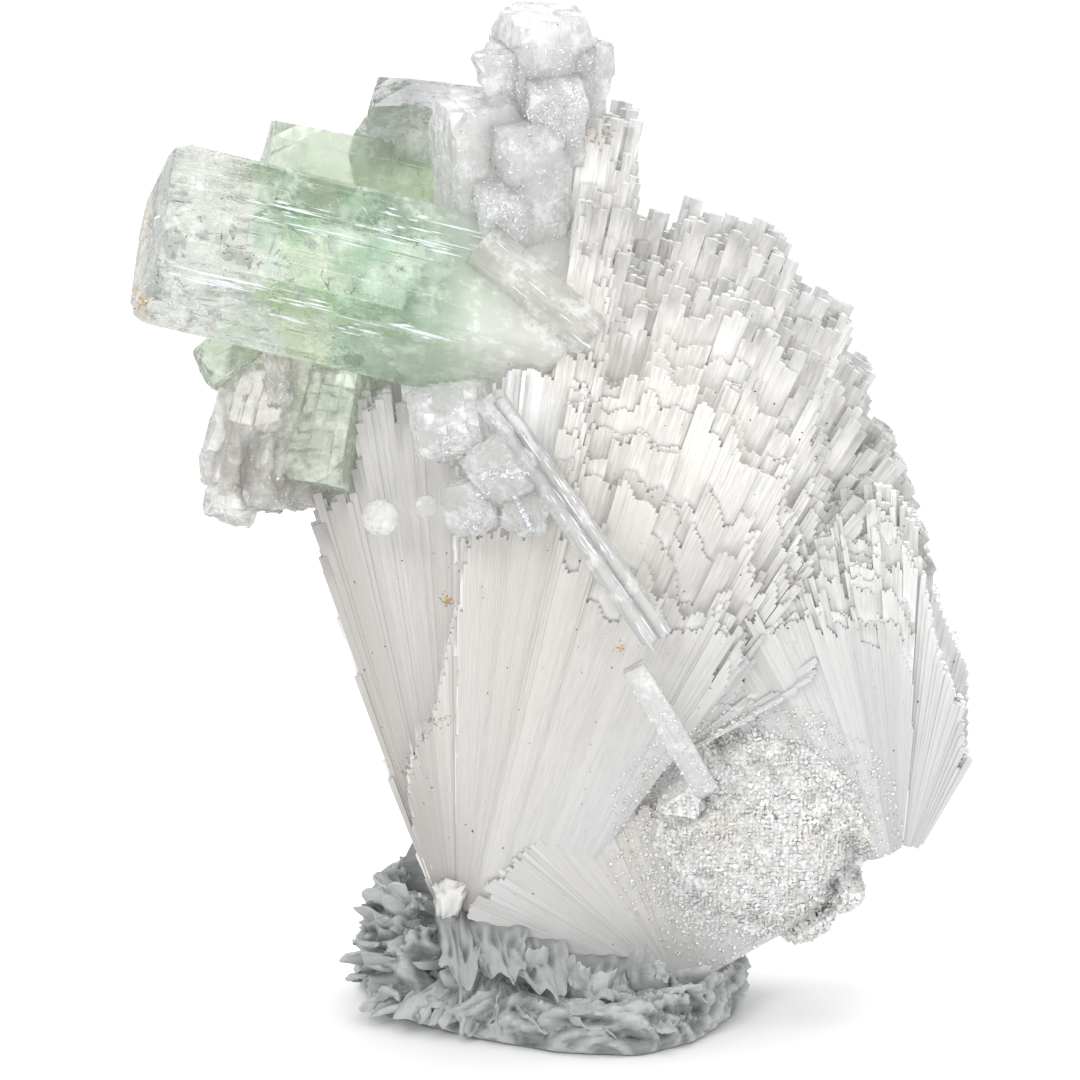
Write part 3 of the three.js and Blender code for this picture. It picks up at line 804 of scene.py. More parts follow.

# Painted glints, small white flakes that stand for highlights on the front of clear crystals:
# piece, whether they are long and follow the crystal, and how many.
GLINTS = (
    ("clear_prism_pair", True, 50), ("clear_prism_upper", True, 16),
    ("skeletal_blade", False, 220), ("clear_crystal_top", False, 620),
    ("clear_crystal_shoulder", False, 360), ("clear_crystal_front", False, 420),
    ("pale_crystal_left", False, 90),
)


# ------------------------------------------------------------------ crust and putty shapes

BOX_SIDES = ((0, 2, 3, 1), (4, 5, 7, 6), (0, 1, 5, 4), (2, 6, 7, 3), (0, 4, 6, 2), (1, 3, 7, 5))

# Torn sheets of the putty, in millimetres: root, tip, width and how far they curl.
LEAVES = [
    ((-9, -2.5, 11.4), (-8.5, -13.4, 5), 6, 0.05),
    ((-5, -3, 10.6), (-3, -14.4, 6), 6, 0.1),
    ((-1.5, -3, 9), (1.6, -16.4, 4.6), 8, 0.05),
    ((6, -4, 6.4), (7, -15.4, 4.2), 8, 0.1),
    ((-11, -1, 6), (-22.8, -3, 5), 9, 0.1),
    ((-11, 3, 8), (-21.6, 1, 8.8), 7, 0.25),
    ((-11, -4, 4), (-20.4, -8, 1.6), 8, -0.1),
    ((-12, 3, 10), (-19.6, 2, 13), 7, 0.3),
    ((-10, -5, 5), (-16.2, -11.6, 1.2), 7, -0.1),
    ((-8, -6, 6), (-12, -13.4, 1.2), 5, -0.1),
    ((-6, -8, 6), (-8.6, -14.8, 1), 4.6, -0.1),
    ((-3, -10, 5), (-4.6, -16, 1.2), 4, -0.1),
    ((-12, 6, 11), (-13.8, 3, 18.6), 7, -0.2),
    ((-1, -8, 4), (-2.4, -12, 8.4), 5, 0.9),
    ((5, -11, 3), (3.4, -13.6, 7), 8, 1.0),
    ((12, -9, 3), (10.4, -12.6, 8.4), 6, 0.8),
    ((19, 3, 8), (21.8, 1, 12.6), 8, 0.2),
    ((13, -10, 4), (18.6, -14, 4.6), 7, 0.3),
    ((4, -12, 4), (8, -18.6, 1.6), 8, 0.2),
    ((-2, -10, 5), (1.6, -17.2, 1.4), 6, 0.2),
    ((11, -11, 4), (14.4, -18.2, 1.6), 7, 0.2),
]


def face_list(piece):
    """Middle in millimetres, normal and area in square millimetres of each face."""
    return [(p.center / MM, p.normal.copy(), p.area / MM / MM) for p in piece.data.polygons]


def roughen(piece, move):
    """Moves every vertex by move(place, normal), both in millimetres."""
    normals = [v.normal.copy() for v in piece.data.vertices]
    for vertex, normal in zip(piece.data.vertices, normals):
        vertex.co += move(vertex.co / MM, normal) * MM
    piece.data.update()


# ------------------------------------------------------------------ finishes


def needle_finish(settings):
    """Silky white with fine dark lines along each needle, greyer at the tips and glassy at the rim."""
    f = Finish("scolecite needles")
    tone, glass, bearing, radius, length, foot, warmth = (
        f.add("Attribute", {"attribute_name": name}, out="Fac")
        for name in ("tone", "glass", "bearing", "radius", "length", "foot", "warmth")
    )
    fibre = f.add("CombineXYZ", None, bearing, radius * 0.05, tone * 3.0)
    fine = f.noise(fibre, 6.0, 2.0, 0.7)
    color = f.mix(warmth.step(0.0, 0.8), settings.cool, settings.warm)
    color = f.mix(warmth.step(0.8, 1.6), color, (0.72, 0.62, 0.47))
    x, z = (f.add("SeparateXYZ", None, f.place(), out=axis) for axis in "XZ")
    color = f.mix((1 - (x + z * 0.28).step(-8.0, 0.0)) * 0.7, color, (0.62, 0.58, 0.54))
    # Painted shade: below and left of the upper right the colour is multiplied darker, so those better
    # lit parts read no brighter than the terraced upper right.
    painted_shade = {"data_type": "RGBA", "blend_type": "MULTIPLY"}
    color = f.add("Mix", painted_shade, 1 - (x * 0.5 + z).step(54.0, 86.0), color, (0.69, 0.69, 0.69, 1.0))
    tip = 1 - ((length - radius) * 0.22).step(0.0, 1.0)
    # Painted light: where a needle comes out past the end of the one ahead, at the foot of each step,
    # its colour is lifted to near white against the step's shade.
    color = f.mix(1 - (radius - foot).step(-1.0, 2.0), color, (0.98, 0.975, 0.96))
    line = (1 - (fine * 0.8 + tone * 0.2).step(0.34, 0.60)) * (0.3 + tip * 0.2)
    color = f.mix(line, color, (0.42, 0.41, 0.40))
    color = f.mix(tip * tone.step(0.35, 1.0) * 0.3, color, (0.72, 0.725, 0.73))
    milky = f.add("BsdfPrincipled", None, Base_Color=color, Roughness=0.22, IOR=1.5)
    clear = f.add("BsdfPrincipled", None, Base_Color=(0.97, 0.985, 1.0, 1.0), Roughness=0.04, IOR=1.51,
                  Transmission_Weight=1.0)
    return f.finish(f.blend(tip * glass * settings.tip_clarity, milky, clear))


def core_finish():
    f = Finish("scolecite heart")
    grain = f.noise(f.place(), 0.6, 3.0)
    color = f.mix(grain, (0.68, 0.66, 0.63), (0.76, 0.76, 0.75))
    return f.finish(f.add(
        "BsdfPrincipled", None, Base_Color=color, Roughness=0.4, IOR=1.5,
        Subsurface_Weight=0.6, Subsurface_Radius=(1.0, 1.0, 1.0), Subsurface_Scale=3.0 * MM,
    ))


def crystal_finish(name, color, cloud, turn=(0, 0, 0), chip=0.6):
    """Clear apophyllite with milky veils.

    color: the two tints that it varies between. cloud: how milky it is all over. Either may be a
    function of the finish and the place. chip: how much of its unevenness is chipped facets. The
    rest is fine lines along the crystal, which `turn` lays along its axis."""
    f = Finish(name)
    place = f.place()
    along_axis = f.place(scale=(0.07, 1.0, 1.0), turn=turn)
    if callable(color):
        color = color(f, place)
    else:
        color = f.mix(f.noise(place, 0.15, 1.0).step(0.35, 0.65), *color)
    cloud = cloud(f, place) if callable(cloud) else cloud
    lines = f.noise(along_axis, 1.5, 3.0, 0.6)
    facet = f.add("TexVoronoi", None, Vector=place, Scale=0.55)
    cells = f.add("TexVoronoi", None, Vector=place, Scale=0.8, out="Color")
    tint = f.add("SeparateXYZ", None, cells, out="X")
    color = f.mix(tint.step(0.0, 0.45) * 0.25 + 0.75, (0.62, 0.63, 0.60), color)
    normal = f.bump(lines * (1 - chip) + facet * chip, 0.16, 0.3 * MM)
    clear = f.add("BsdfPrincipled", None, Base_Color=color, Roughness=0.02, IOR=1.535,
                  Transmission_Weight=1.0, Normal=normal)
    pale = f.mix(0.25, color, (0.97, 0.98, 0.97))
    milky = f.add(
        "BsdfPrincipled", None, Base_Color=pale, Roughness=0.15, IOR=1.53, Normal=normal,
        Subsurface_Weight=1.0, Subsurface_Radius=(1.0, 1.0, 1.0), Subsurface_Scale=4 * MM,
    )
    wisps = f.noise(place, 0.32, 4.0, 0.7)
    body = f.blend(wisps.step(0.46, 0.68) * 0.36 + cloud, clear, milky)
    return f.finish(body)


def main_green(f, place):
    """Brown on the end face, then colourless, then green, and fading where it enters the spray."""
    x, z = (f.add("SeparateXYZ", None, place, out=axis) for axis in "XZ")
    wander = f.noise(place, 0.1, 3.0) - 0.5
    green = f.mix(f.noise(place, 0.2, 2.0).step(0.38, 0.62), (0.72, 0.86, 0.70), (0.40, 0.60, 0.41))
    low = 1 - (z + x * 0.28 + wander * 4.0).step(76.5, 79.0)
    green = f.mix(low * 0.6, green, (0.58, 0.75, 0.56))
    olive = low * (x + wander * 10.0).step(-21.0, -25.0)
    green = f.mix(olive * 0.8, green, (0.68, 0.72, 0.46))
    zoned = f.mix((x + z * 0.2 + wander * 5.0).step(-13.4, -12.0), (0.80, 0.83, 0.77), green)
    faded = f.mix((x + wander * 14.0).step(-16, -2), zoned, (0.90, 0.94, 0.85))
    return f.mix((1 - x.step(-43.2, -41.8)) * 0.6, faded, (0.60, 0.50, 0.38))


def main_cloud(f, place):
    """Dull at the end face, clear behind it, and milky where the crystal enters the spray."""
    x = f.add("SeparateXYZ", None, place, out="X")
    return (1 - x.step(-43.2, -41.8)) * 0.4 + x.step(-34.0, -24.0) * 0.06 + x.step(-18.0, -6.0) * 0.4


def crystal_finishes():
    tilt = (0, math.radians(16), 0)
    return {
        "clear": crystal_finish("clear apophyllite", ((1.0, 0.995, 0.975), (0.98, 0.97, 0.945)), 0.38),
        "pale": crystal_finish("pale apophyllite", ((0.99, 0.97, 0.92), (0.94, 0.905, 0.84)), 0.26),
        "smoky": crystal_finish("smoky apophyllite", ((0.86, 0.86, 0.87), (0.66, 0.66, 0.68)), 0.04),
        "green": crystal_finish("green apophyllite", ((0.80, 0.89, 0.74), (0.65, 0.77, 0.57)), 0.14),
        "green main": crystal_finish("green apophyllite, zoned", main_green, main_cloud, tilt, 0.0),
    }


def druse_finish(name):
    """Sugary white, warmer in patches."""
    f = Finish(name)
    place = f.place()
    warm = f.noise(place, 0.16, 2.0).step(0.5, 0.7) * 0.6
    color = f.mix(warm, (0.86, 0.86, 0.85), (0.80, 0.75, 0.67))
    color = f.mix(f.noise(place, 2.0, 2.0).step(0.35, 0.6), (0.62, 0.62, 0.60), color)
    return f.finish(f.add("BsdfPrincipled", None, Base_Color=color, Roughness=0.1, IOR=1.53))


def putty_finish():
    f = Finish("putty")
    place = f.place()
    fold = f.add("Attribute", {"attribute_name": "fold"}, out="Fac")
    smear = f.noise(f.place(scale=(0.6, 1.0, 2.2)), 0.7, 5.0, 0.6)
    # Painted shade and light: the folds' valleys are painted near black and their crests light grey.
    color = f.mix(fold.step(-0.5, 0.4), (0.10, 0.108, 0.11), (0.48, 0.495, 0.495))
    color = f.mix(smear.step(0.3, 0.7) * 0.35, color, (0.42, 0.43, 0.425))
    color = f.mix(f.noise(place, 0.15, 2.0).step(0.4, 0.65) * 0.3, color, (0.38, 0.395, 0.39))
    normal = f.bump(smear, 0.6, 0.35 * MM)
    return f.finish(f.add(
        "BsdfPrincipled", None, Base_Color=color, Roughness=0.28, IOR=1.5, Normal=normal,
    ))


# ------------------------------------------------------------------ the user's settings


class SpraySettings(bpy.types.PropertyGroup):
    pitch: FloatProperty(
        name="Needle pitch",
        description="Distance between neighbouring needles at their tips, in millimetres",
        default=0.42, min=0.3, max=2.0,
    )
    tip_clarity: FloatProperty(
        name="Tip clarity", description="How glassy the needles are at their tips",
        default=0.5, min=0.0, max=1.0, subtype="FACTOR",
    )
    warm: FloatVectorProperty(
        name="Warm white", description="Colour of the spray's older, warmer parts",
        default=(0.92, 0.885, 0.82), subtype="COLOR",
    )
    cool: FloatVectorProperty(
        name="Cool white", description="Colour of the spray's clean, cool parts",
        default=(0.89, 0.90, 0.915), subtype="COLOR",
    )
    druse_size: FloatProperty(
        name="Druse size", description="Length of the crust's largest crystals, in millimetres",
        default=0.62, min=0.2, max=4.0,
    )
    druse_density: FloatProperty(
        name="Druse density", description="Crystals of the crust for each square millimetre",
        default=3.6, min=0.0, max=4.0,
    )


class StageSettings(bpy.types.PropertyGroup):
    elevation: FloatProperty(
        name="Elevation", description="Height of the camera over the horizon",
        default=math.radians(14), subtype="ANGLE",
    )
    distance: FloatProperty(
        name="Distance", description="From the camera to the middle of the specimen",
        default=0.56, unit="LENGTH",
    )
    target: FloatProperty(
        name="Target height", description="Height that the camera looks at",
        default=0.0541, unit="LENGTH",
    )
    lens: FloatProperty(name="Lens", description="Focal length", default=168.0, unit="CAMERA")
    key: FloatProperty(
        name="Key light", description="Soft light from the upper left", default=4.0, unit="POWER",
    )
    top: FloatProperty(
        name="Top light", description="Soft light from above and behind", default=8.0, unit="POWER",
    )
    fill: FloatProperty(
        name="Fill light", description="Weak light from the right", default=2.6, unit="POWER",
    )
    sky: FloatProperty(
        name="Sky", description="Brightness of the surrounding white", default=0.92, min=0.0,
    )
    glow: FloatProperty(
        name="Glow", description="How far light that has bounced twice still looks for what blocks it",
        default=0.0006, unit="LENGTH",
    )


# ------------------------------------------------------------------ operators


class SPECIMEN_OT_heart(bpy.types.Operator):
    """Make the solid heart of the spray, which the needles stand out of, and the stub at its foot"""

    bl_idname = "specimen.heart"
    bl_label = "Spray Heart"

    # For each fan: degrees kept from its two sides, share of the needles' reach, and the places
    # that the heart spans, counted in layers from the front.
    SHARES = (
        (MAIN_FAN, 4, 0.66, (3, 4, 5.4)),
        (RIGHT_FAN, 16, 0.55, (2, 3.3)),
        (LOWER_FAN, 8, 0.7, (1, 1.5)),
    )

    # How many angles it goes through, how near the root it starts as a share of the length, and
    # the millimetres kept between it and the other pieces.
    COLUMNS, NEAREST, GAP = 8, 0.12, 0.4

    def execute(self, context):
        heart, *others = [self.hull(*row) for row in self.SHARES]
        for other in others:
            modify(heart, "BOOLEAN", operation="UNION", object=other, solver="EXACT")
            bpy.data.objects.remove(other)
        for name in frame["nodes"]:
            if name not in ("scolecite_spray", "putty_mount", "drusy_crust"):
                cutter = merged_copy(name, "cutter")
                modify(cutter, "DISPLACE", strength=self.GAP * MM, mid_level=0.0)
                modify(heart, "BOOLEAN", operation="DIFFERENCE", object=cutter, solver="EXACT")
                bpy.data.objects.remove(cutter)
        heart.name = "spray_heart"
        dress(heart, core_finish(), "scolecite", "scolecite_spray")
        self.stub(heart.data.materials[0])
        return {"FINISHED"}

    def hull(self, fan, inset, share, places):
        """The heart of one fan, round points among its needles."""
        points = []
        for i in range(self.COLUMNS):
            angle = lerp(fan.angles[0] + inset, fan.angles[1] - inset, i / (self.COLUMNS - 1))
            for u in places:
                for part in (self.NEAREST, share * fan.reach_at(u, angle)):
                    points.append(fan.point(u, angle, part) * MM)
        heart = choose(new_piece(fan.name + "_heart", points, []))
        bpy.ops.object.mode_set(mode="EDIT")
        bpy.ops.mesh.select_all(action="SELECT")
        bpy.ops.mesh.convex_hull()
        bpy.ops.object.mode_set(mode="OBJECT")
        return heart

    @staticmethod
    def stub(material):
        """The broken lump at the foot of the spray."""
        bpy.ops.mesh.primitive_ico_sphere_add(subdivisions=4, radius=1)
        stub = bpy.context.object
        stub.name = "spray_stub"
        for vertex in stub.data.vertices:
            p = vertex.co
            lumps = 1 + 0.45 * noise.noise(p * 2.2) + 0.2 * noise.noise(p * 5)
            x, y, z = (math.copysign(abs(c) ** 0.7, c) * lumps for c in p)
            vertex.co = Vector((x * (1.5 + z * 0.5) - 10.2 + z * 0.3, y * 1.7 - 3, z * 2.3 + 13)) * MM
        bpy.ops.object.shade_smooth()
        dress(stub, material, "scolecite")


class SPECIMEN_OT_needles(bpy.types.Operator):
    """Fill the three fans with needles"""

    bl_idname = "specimen.needles"
    bl_label = "Needles"

    def execute(self, context):
        settings = context.scene.specimen_spray
        guard = crystal_guard()
        finish = needle_finish(settings)
        for fan in (MAIN_FAN, RIGHT_FAN, LOWER_FAN):
            dress(fill_fan(fan, settings.pitch, guard), finish, "scolecite")
        return {"FINISHED"}


class SPECIMEN_OT_crystals(bpy.types.Operator):
    """Make the apophyllite crystals"""

    bl_idname = "specimen.crystals"
    bl_label = "Crystals"

    def execute(self, context):
        finishes = crystal_finishes()
        for node, (look, slot, relief, prisms) in CRYSTALS.items():
            shells = Shells()
            for number, prism in enumerate(prisms):
                shells.prism(len(shells.vertices) + number, relief, **prism)
            name = node.replace("apophyllite", "crystal")
            piece = new_piece(name, shells.vertices, shells.faces)
            dress(piece, finishes[look], slot, node)
        for node in ("disc_crystal_large", "disc_crystal_small"):
            piece = merged_copy(node, node.replace("disc_crystal", "disc"))
            modify(piece, "BEVEL", width=0.2 * MM, segments=2, limit_method="ANGLE", angle_limit=0.4)
            dress(piece, finishes["clear"], "clear_apophyllite", node)
        return {"FINISHED"}


class SPECIMEN_OT_ridges(bpy.types.Operator):
    """Make the large crystal's ridges with painted highlights, its inner cracks, and painted glints on
    clear ones
    """

    bl_idname = "specimen.ridges"
    bl_label = "Ridges, Glints And Cracks"

    def execute(self, context):
        prism = CRYSTALS["green_apophyllite_main"][3][0]
        root, tip, half = Vector(prism["root"]), Vector(prism["tip"]), prism["width"] / 2
        axis = (tip - root).normalized()
        up = Vector((0, -0.2, 1))
        up = (up - axis * up.dot(axis)).normalized()
        out = axis.cross(up)
        out = out if out.y < 0 else -out
        corner = half * math.sqrt(2)
        ridges = Flakes()
        for row, (start, end, middle, spread, count) in enumerate(RIDGES):
            for i in range(count):
                r = [chance(row + 0.5, i, n) for n in range(5)]
                q = middle + (r[0] - 0.5) * 2 * spread
                t = lerp(start, end, r[1])
                run = lerp(0.8, 5.0, r[2] ** 2) * (1 - abs(r[1] - 0.5))
                down, forward = q * corner, min(q, 2 - q) * corner
                spot = root.lerp(tip, t) + up * (corner - down) + out * (forward - 0.05)
                wide = lerp(0.05, 0.13, r[3])
                ridges.add(spot, axis * run, (up + out * 0.2).normalized() * wide, out * 0.09)
        # Painted highlight: the ridges and the glints are flat blue-white flakes that stand for light
        # caught by the crystal's steps and facets.
        f = Finish("bright ridges")
        painted_highlight = f.finish(f.add(
            "BsdfPrincipled", None, Base_Color=(0.88, 0.94, 1.0, 1.0), Roughness=0.15, IOR=1.53,
        ))
        dress(new_piece("crystal_ridges", ridges.vertices, ridges.faces), painted_highlight, "clear_apophyllite")

        # Painted glints: small flat white flakes laid on the front of the clear crystals.
        painted_glints = Flakes()
        for row, (name, long, count) in enumerate(GLINTS):
            piece = context.scene.objects[name]
            cast = surface_caster([piece])
            prisms = CRYSTALS[name.replace("crystal", "apophyllite")][3]
            for i in range(count):
                prism = prisms[i % len(prisms)]
                r = [chance(row + 40, i, n) for n in range(6)]
                start, end = Vector(prism["root"]), Vector(prism["tip"])
                axis = (end - start).normalized()
                across = axis.cross(FORWARD).normalized()
                spot = start.lerp(end, lerp(0.05, 0.98, r[0])) + across * (r[1] - 0.5) * prism["width"]
                spot = cast(spot.x, spot.z, -1)
                if spot is None:
                    continue
                if long:
                    sides = (axis * lerp(0.5, 2.6, r[2] ** 2), across * lerp(0.05, 0.12, r[3]))
                else:
                    turn = Matrix.Rotation(r[2] * 6.3, 3, FORWARD)
                    sides = (
                        turn @ Vector((lerp(0.05, 0.32, r[3] ** 2), (r[4] - 0.5) * 0.3, 0)),
                        turn @ Vector((0, (r[5] - 0.5) * 0.2, lerp(0.03, 0.14, r[5]))),
                    )
                painted_glints.add(spot, *sides, Vector((0, -0.06, 0)))
        dress(new_piece("crystal_glints", painted_glints.vertices, painted_glints.faces), painted_highlight, "clear_apophyllite")

        def inside(i):
            """A point inside the crystal, more often near its clear end."""
            r = [chance(i, n, 8.8) for n in range(3)]
            a, b = (r[0] - 0.5) * 1.7, (r[1] - 0.5) * 1.7
            t = 1 - 0.72 * r[2] ** 1.6
            return root.lerp(tip, min(t, 0.97)) + (up * (a + b) + out * (a - b)) * corner * 0.5

        for name, seed, count, size, flat, narrow, color in (
            ("crystal_cracks", 4.4, 90, 2.4, 0.02, 0.6, (0.94, 0.96, 0.95, 1.0)),
            ("crystal_veins", 7.7, 150, 2.2, 0.03, 0.04, (0.22, 0.20, 0.16, 1.0)),
        ):
            flakes = Flakes()
            flakes.scatter(seed, count, inside, size, flat, narrow)
            f = Finish(name.replace("_", " "))
            inner = f.finish(f.add("BsdfPrincipled", None, Base_Color=color, Roughness=0.2, IOR=1.53))
            dress(new_piece(name, flakes.vertices, flakes.faces), inner, "clear_apophyllite")
        return {"FINISHED"}


class SPECIMEN_OT_specks(bpy.types.Operator):
    """Scatter the specks and stains of iron rust"""

    bl_idname = "specimen.specks"
    bl_label = "Rust Specks"

    # x, z and size of the stained patches in millimetres, and their number of grains.
    STAINS = (
        (-43.2, 97, 1.6, 26), (-43.8, 90.5, 2.2, 40), (-43.6, 83, 2, 34), (-9.9, 47.6, 1.6, 34),
        (-11.3, 34.2, 1.8, 30), (-15, 28.5, 2.2, 26), (9, 44, 1.4, 14), (6.8, 99.5, 3, 50),
    )
    SPECKS = 620

    def execute(self, context):
        cast = surface_caster([
            o for o in context.scene.objects
            if o.name.endswith(("needles", "grains")) or "crystal" in o.name
        ])

        def anywhere(i):
            """A point on the front, or for each fourth number on the back."""
            x, z = lerp(-44, 48, chance(i, 1, 9.1)), lerp(5, 112, chance(i, 2, 9.2))
            return cast(x, z, -1 if i % 4 else 1)

        specks = Flakes()
        specks.scatter(2.2, self.SPECKS, anywhere, 0.2, 0.6)
        stains = Flakes()
        for row, (x, z, size, count) in enumerate(self.STAINS):

            def stained(i):
                """A point of this patch, more often near its middle."""
                right = chance(row, i, 1) + chance(row, i, 2) - 1
                up = chance(row, i, 3) + chance(row, i, 4) - 1
                return cast(x + right * size, z + up * size * 0.7, -1)

            stains.scatter(row + 6, count, stained, 0.26, 0.6)
        for name, flakes, colors in (
            ("rust_specks", specks, ((0.08, 0.06, 0.045), (0.22, 0.15, 0.09))),
            ("rust_stains", stains, ((0.62, 0.36, 0.14), (0.50, 0.42, 0.30))),
        ):
            f = Finish(name.replace("_", " "))
            color = f.mix(f.noise(f.place(), 0.4, 2.0).step(0.4, 0.6), *colors)
            rust = f.finish(f.add("BsdfPrincipled", None, Base_Color=color, Roughness=0.7))
            dress(new_piece(name, flakes.vertices, flakes.faces), rust, "druse")
        return {"FINISHED"}


class SPECIMEN_OT_crust(bpy.types.Operator):
    """Make the crust of small crystals"""

    bl_idname = "specimen.crust"
    bl_label = "Drusy Crust"

    # Middle and half axes of the crust seen from the front, x and z in millimetres.
    MIDDLE, HALF_AXES = (24, 21), (13, 12.5)

    # How many smaller grains are strewn round its edge, and how large they are beside the others.
    STREWN, STREWN_SIZE = 2600, 0.6

    def execute(self, context):
        settings = context.scene.specimen_spray
        base = merged_copy("drusy_crust", "druse")
        modify(base, "REMESH", mode="VOXEL", voxel_size=1.1 * MM)
        modify(base, "SMOOTH", factor=0.7, iterations=8)
        modify(base, "REMESH", mode="VOXEL", voxel_size=0.45 * MM)
        roughen(base, lambda p, n: n * (0.8 + 0.5 * noise.noise(p * 0.3) + 0.15 * noise.noise(p * 1.3)))
        cast = surface_caster(
            [o for o in context.scene.objects if o.name.endswith(("needles", "heart"))]
        )
        (x, z), (wide, high) = self.MIDDLE, self.HALF_AXES
        for vertex in base.data.vertices:
            p = vertex.co / MM
            edge = math.hypot((p.x - x) / wide, (p.z - z) / high) + 0.15 * noise.noise(p * 0.4)
            below = cast(p.x, p.z, -1)
            depth = below.y + 0.3 if below is not None else p.y
            if p.y < depth:
                vertex.co.y = lerp(p.y, depth, 0.3 + 0.7 * max(0, min(1, (edge - 0.5) / 0.45))) * MM
        base.data.update()
        spots = [
            (place, normal, 1) for number, (place, normal, area) in enumerate(face_list(base))
            if normal.y <= 0.6 and chance(number, 0.1, 7) <= area * settings.druse_density
        ]
        for i in range(self.STREWN):
            turn, stray = chance(i, 1, 5) * 6.283, 0.9 + 0.4 * chance(i, 2, 5) ** 2
            spot = cast(x + wide * stray * math.cos(turn), z + high * stray * math.sin(turn), -1)
            if spot is not None:
                spots.append((spot, FORWARD, self.STREWN_SIZE))
        vertices, faces = [], []
        for number, (place, normal, share) in enumerate(spots):
            r = [chance(number, n, 3.3) for n in range(7)]
            size = settings.druse_size * lerp(0.45, 1.0, r[0] ** 2) * share
            turn = any_turn(*r[1:5])
            shape = Vector((size, size * lerp(0.5, 1, r[5]), size * lerp(0.35, 0.9, r[6])))
            first = len(vertices)
            for corner in range(8):
                sign = Vector((corner & 1, corner >> 1 & 1, corner >> 2)) - Vector((0.5, 0.5, 0.5))
                offset = turn @ Vector((sign.x * shape.x, sign.y * shape.y, sign.z * shape.z))
                vertices.append((place + normal * size * 0.15 + offset) * MM)
            faces += [tuple(first + q for q in side) for side in BOX_SIDES]
        grains = new_piece("druse_grains", vertices, faces)
        dress(base, druse_finish("druse base"), "druse", "drusy_crust")
        dress(grains, druse_finish("druse"), "druse")
        return {"FINISHED"}


class SPECIMEN_OT_putty(bpy.types.Operator):
    """Model the pressed lump of putty"""

    bl_idname = "specimen.putty"
    bl_label = "Putty"

    def execute(self, context):
        piece = merged_copy("putty_mount", "putty")
        modify(piece, "REMESH", mode="VOXEL", voxel_size=0.42 * MM)
        modify(piece, "SMOOTH", factor=0.8, iterations=14)
        folds = [self.fold(v.co / MM) for v in piece.data.vertices]
        # The fold heights also colour the putty: dark in the valleys as painted shade and light on the
        # crests as painted light.
        piece.data.attributes.new("fold", "FLOAT", "POINT").data.foreach_set("value", folds)
        for vertex in piece.data.vertices:
            x, y, z = vertex.co / MM
            lid = self.lid(x, y)
            vertex.co.z = min(z, lid + (z - lid) * 0.2) * MM
        heights = iter(folds)
        roughen(piece, lambda p, n: n * (next(heights) * 1.5 * min(1, max(0, p.z - 0.2) / 1.5)))
        leaves = [self.leaf(number, *row) for number, row in enumerate(LEAVES)]
        choose(piece)
        for leaf in leaves:
            leaf.select_set(True)
        bpy.ops.object.join()
        bpy.ops.object.shade_smooth_by_angle(angle=math.radians(50))
        dress(piece, putty_finish(), "putty", "putty_mount")
        return {"FINISHED"}

    @staticmethod
    def lid(x, y):
        """Height in millimetres above which the lump is pressed down, lower along its front."""
        if y < -5 and 6 < x < 20:
            return 6.6
        if y < -8 and -8 < x < 7:
            return 7.2
        return 15

    @staticmethod
    def fold(p):
        """Height of the pressed folds that run round the lump, about -0.6 to 0.8."""
        warp = noise.noise_vector(p * 0.1) * 1.3
        q = Vector((p.x * 0.07, p.y * 0.2, p.z * 0.3)) + warp
        ridges = 1 - 2 * abs(noise.noise(q * 1.5))
        ridges -= abs(noise.noise(q * 3.7)) * 0.8
        ridges -= abs(noise.noise(q * 8.1)) * 0.35
        return ridges - 0.4

    @staticmethod
    def leaf(number, root, tip, width, curl):
        """A torn sheet of putty from root to tip, thinner at its ragged free edge."""
        root, tip = Vector(root), Vector(tip)
        axis = tip - root
        across = axis.cross(Vector((0.1, 0.1, 1))).normalized()
        normal = across.cross(axis).normalized()
        length, columns, rows = axis.length, 24, 16
        points, folds = [], []
        for face in (1, -1):
            for i in range(rows + 1):
                for j in range(columns + 1):
                    t, s = i / rows, j / columns * 2 - 1
                    tooth = abs((s * 1.4 + chance(number, 1, 1)) % 1 - 0.5) * 2
                    ragged = 1 - (0.3 * abs(s) ** 1.5 + 0.12 * tooth) * t
                    uneven = noise.noise(Vector((t * 2.4, number, s * 0.6)))
                    wide = width / 2 * (1 - 0.25 * t) * (1 + 0.3 * uneven)
                    wave = noise.noise(Vector((s * 1.1, t * 1.0, number * 5.3))) * 1.6 * (0.3 + t)
                    long = abs(noise.noise(Vector((s * 2.2, t * 0.6, number * 2.7))))
                    short = abs(noise.noise(Vector((s * 3.1 + t, t * 2.6 - s, number * 1.9))))
                    crease = (0.4 - long) * 0.6
                    crease += (0.3 - short) * 1.1 * min(1, t * 3)
                    rolled = curl * t * t * length * 0.5 + (s * s - 0.3) * width * 0.2 * curl
                    lift = rolled + wave + crease
                    point = root + axis * t * ragged + across * s * wide + normal * lift
                    point += normal * face * lerp(0.6, 0.12, t)
                    point.z = max(point.z, 0.05 if face < 0 else 0.35)
                    points.append(point * MM)
                    # The fold value colours the sheet: low in its creases, a painted shade, and higher
                    # on its crests and towards its free edge, a painted light.
                    folds.append(crease - 0.3 + 0.5 * t)
        line, back = columns + 1, (rows + 1) * (columns + 1)
        faces = []
        for i in range(rows):
            for j in range(columns):
                a = i * line + j
                faces.append((a, a + 1, a + line + 1, a + line))
                faces.append((a + back, a + back + line, a + back + line + 1, a + back + 1))
        rim = list(range(columns)) + [i * line + columns for i in range(rows)]
        rim += [rows * line + j for j in range(columns, 0, -1)]
        rim += [i * line for i in range(rows, 0, -1)]
        for a, b in zip(rim, rim[1:] + rim[:1]):
            faces.append((a, a + back, b + back, b))
        piece = choose(new_piece("leaf", points, faces, {"fold": folds}))
        bpy.ops.object.mode_set(mode="EDIT")
        bpy.ops.mesh.select_all(action="SELECT")
        bpy.ops.mesh.normals_make_consistent(inside=False)
        bpy.ops.object.mode_set(mode="OBJECT")
        return piece


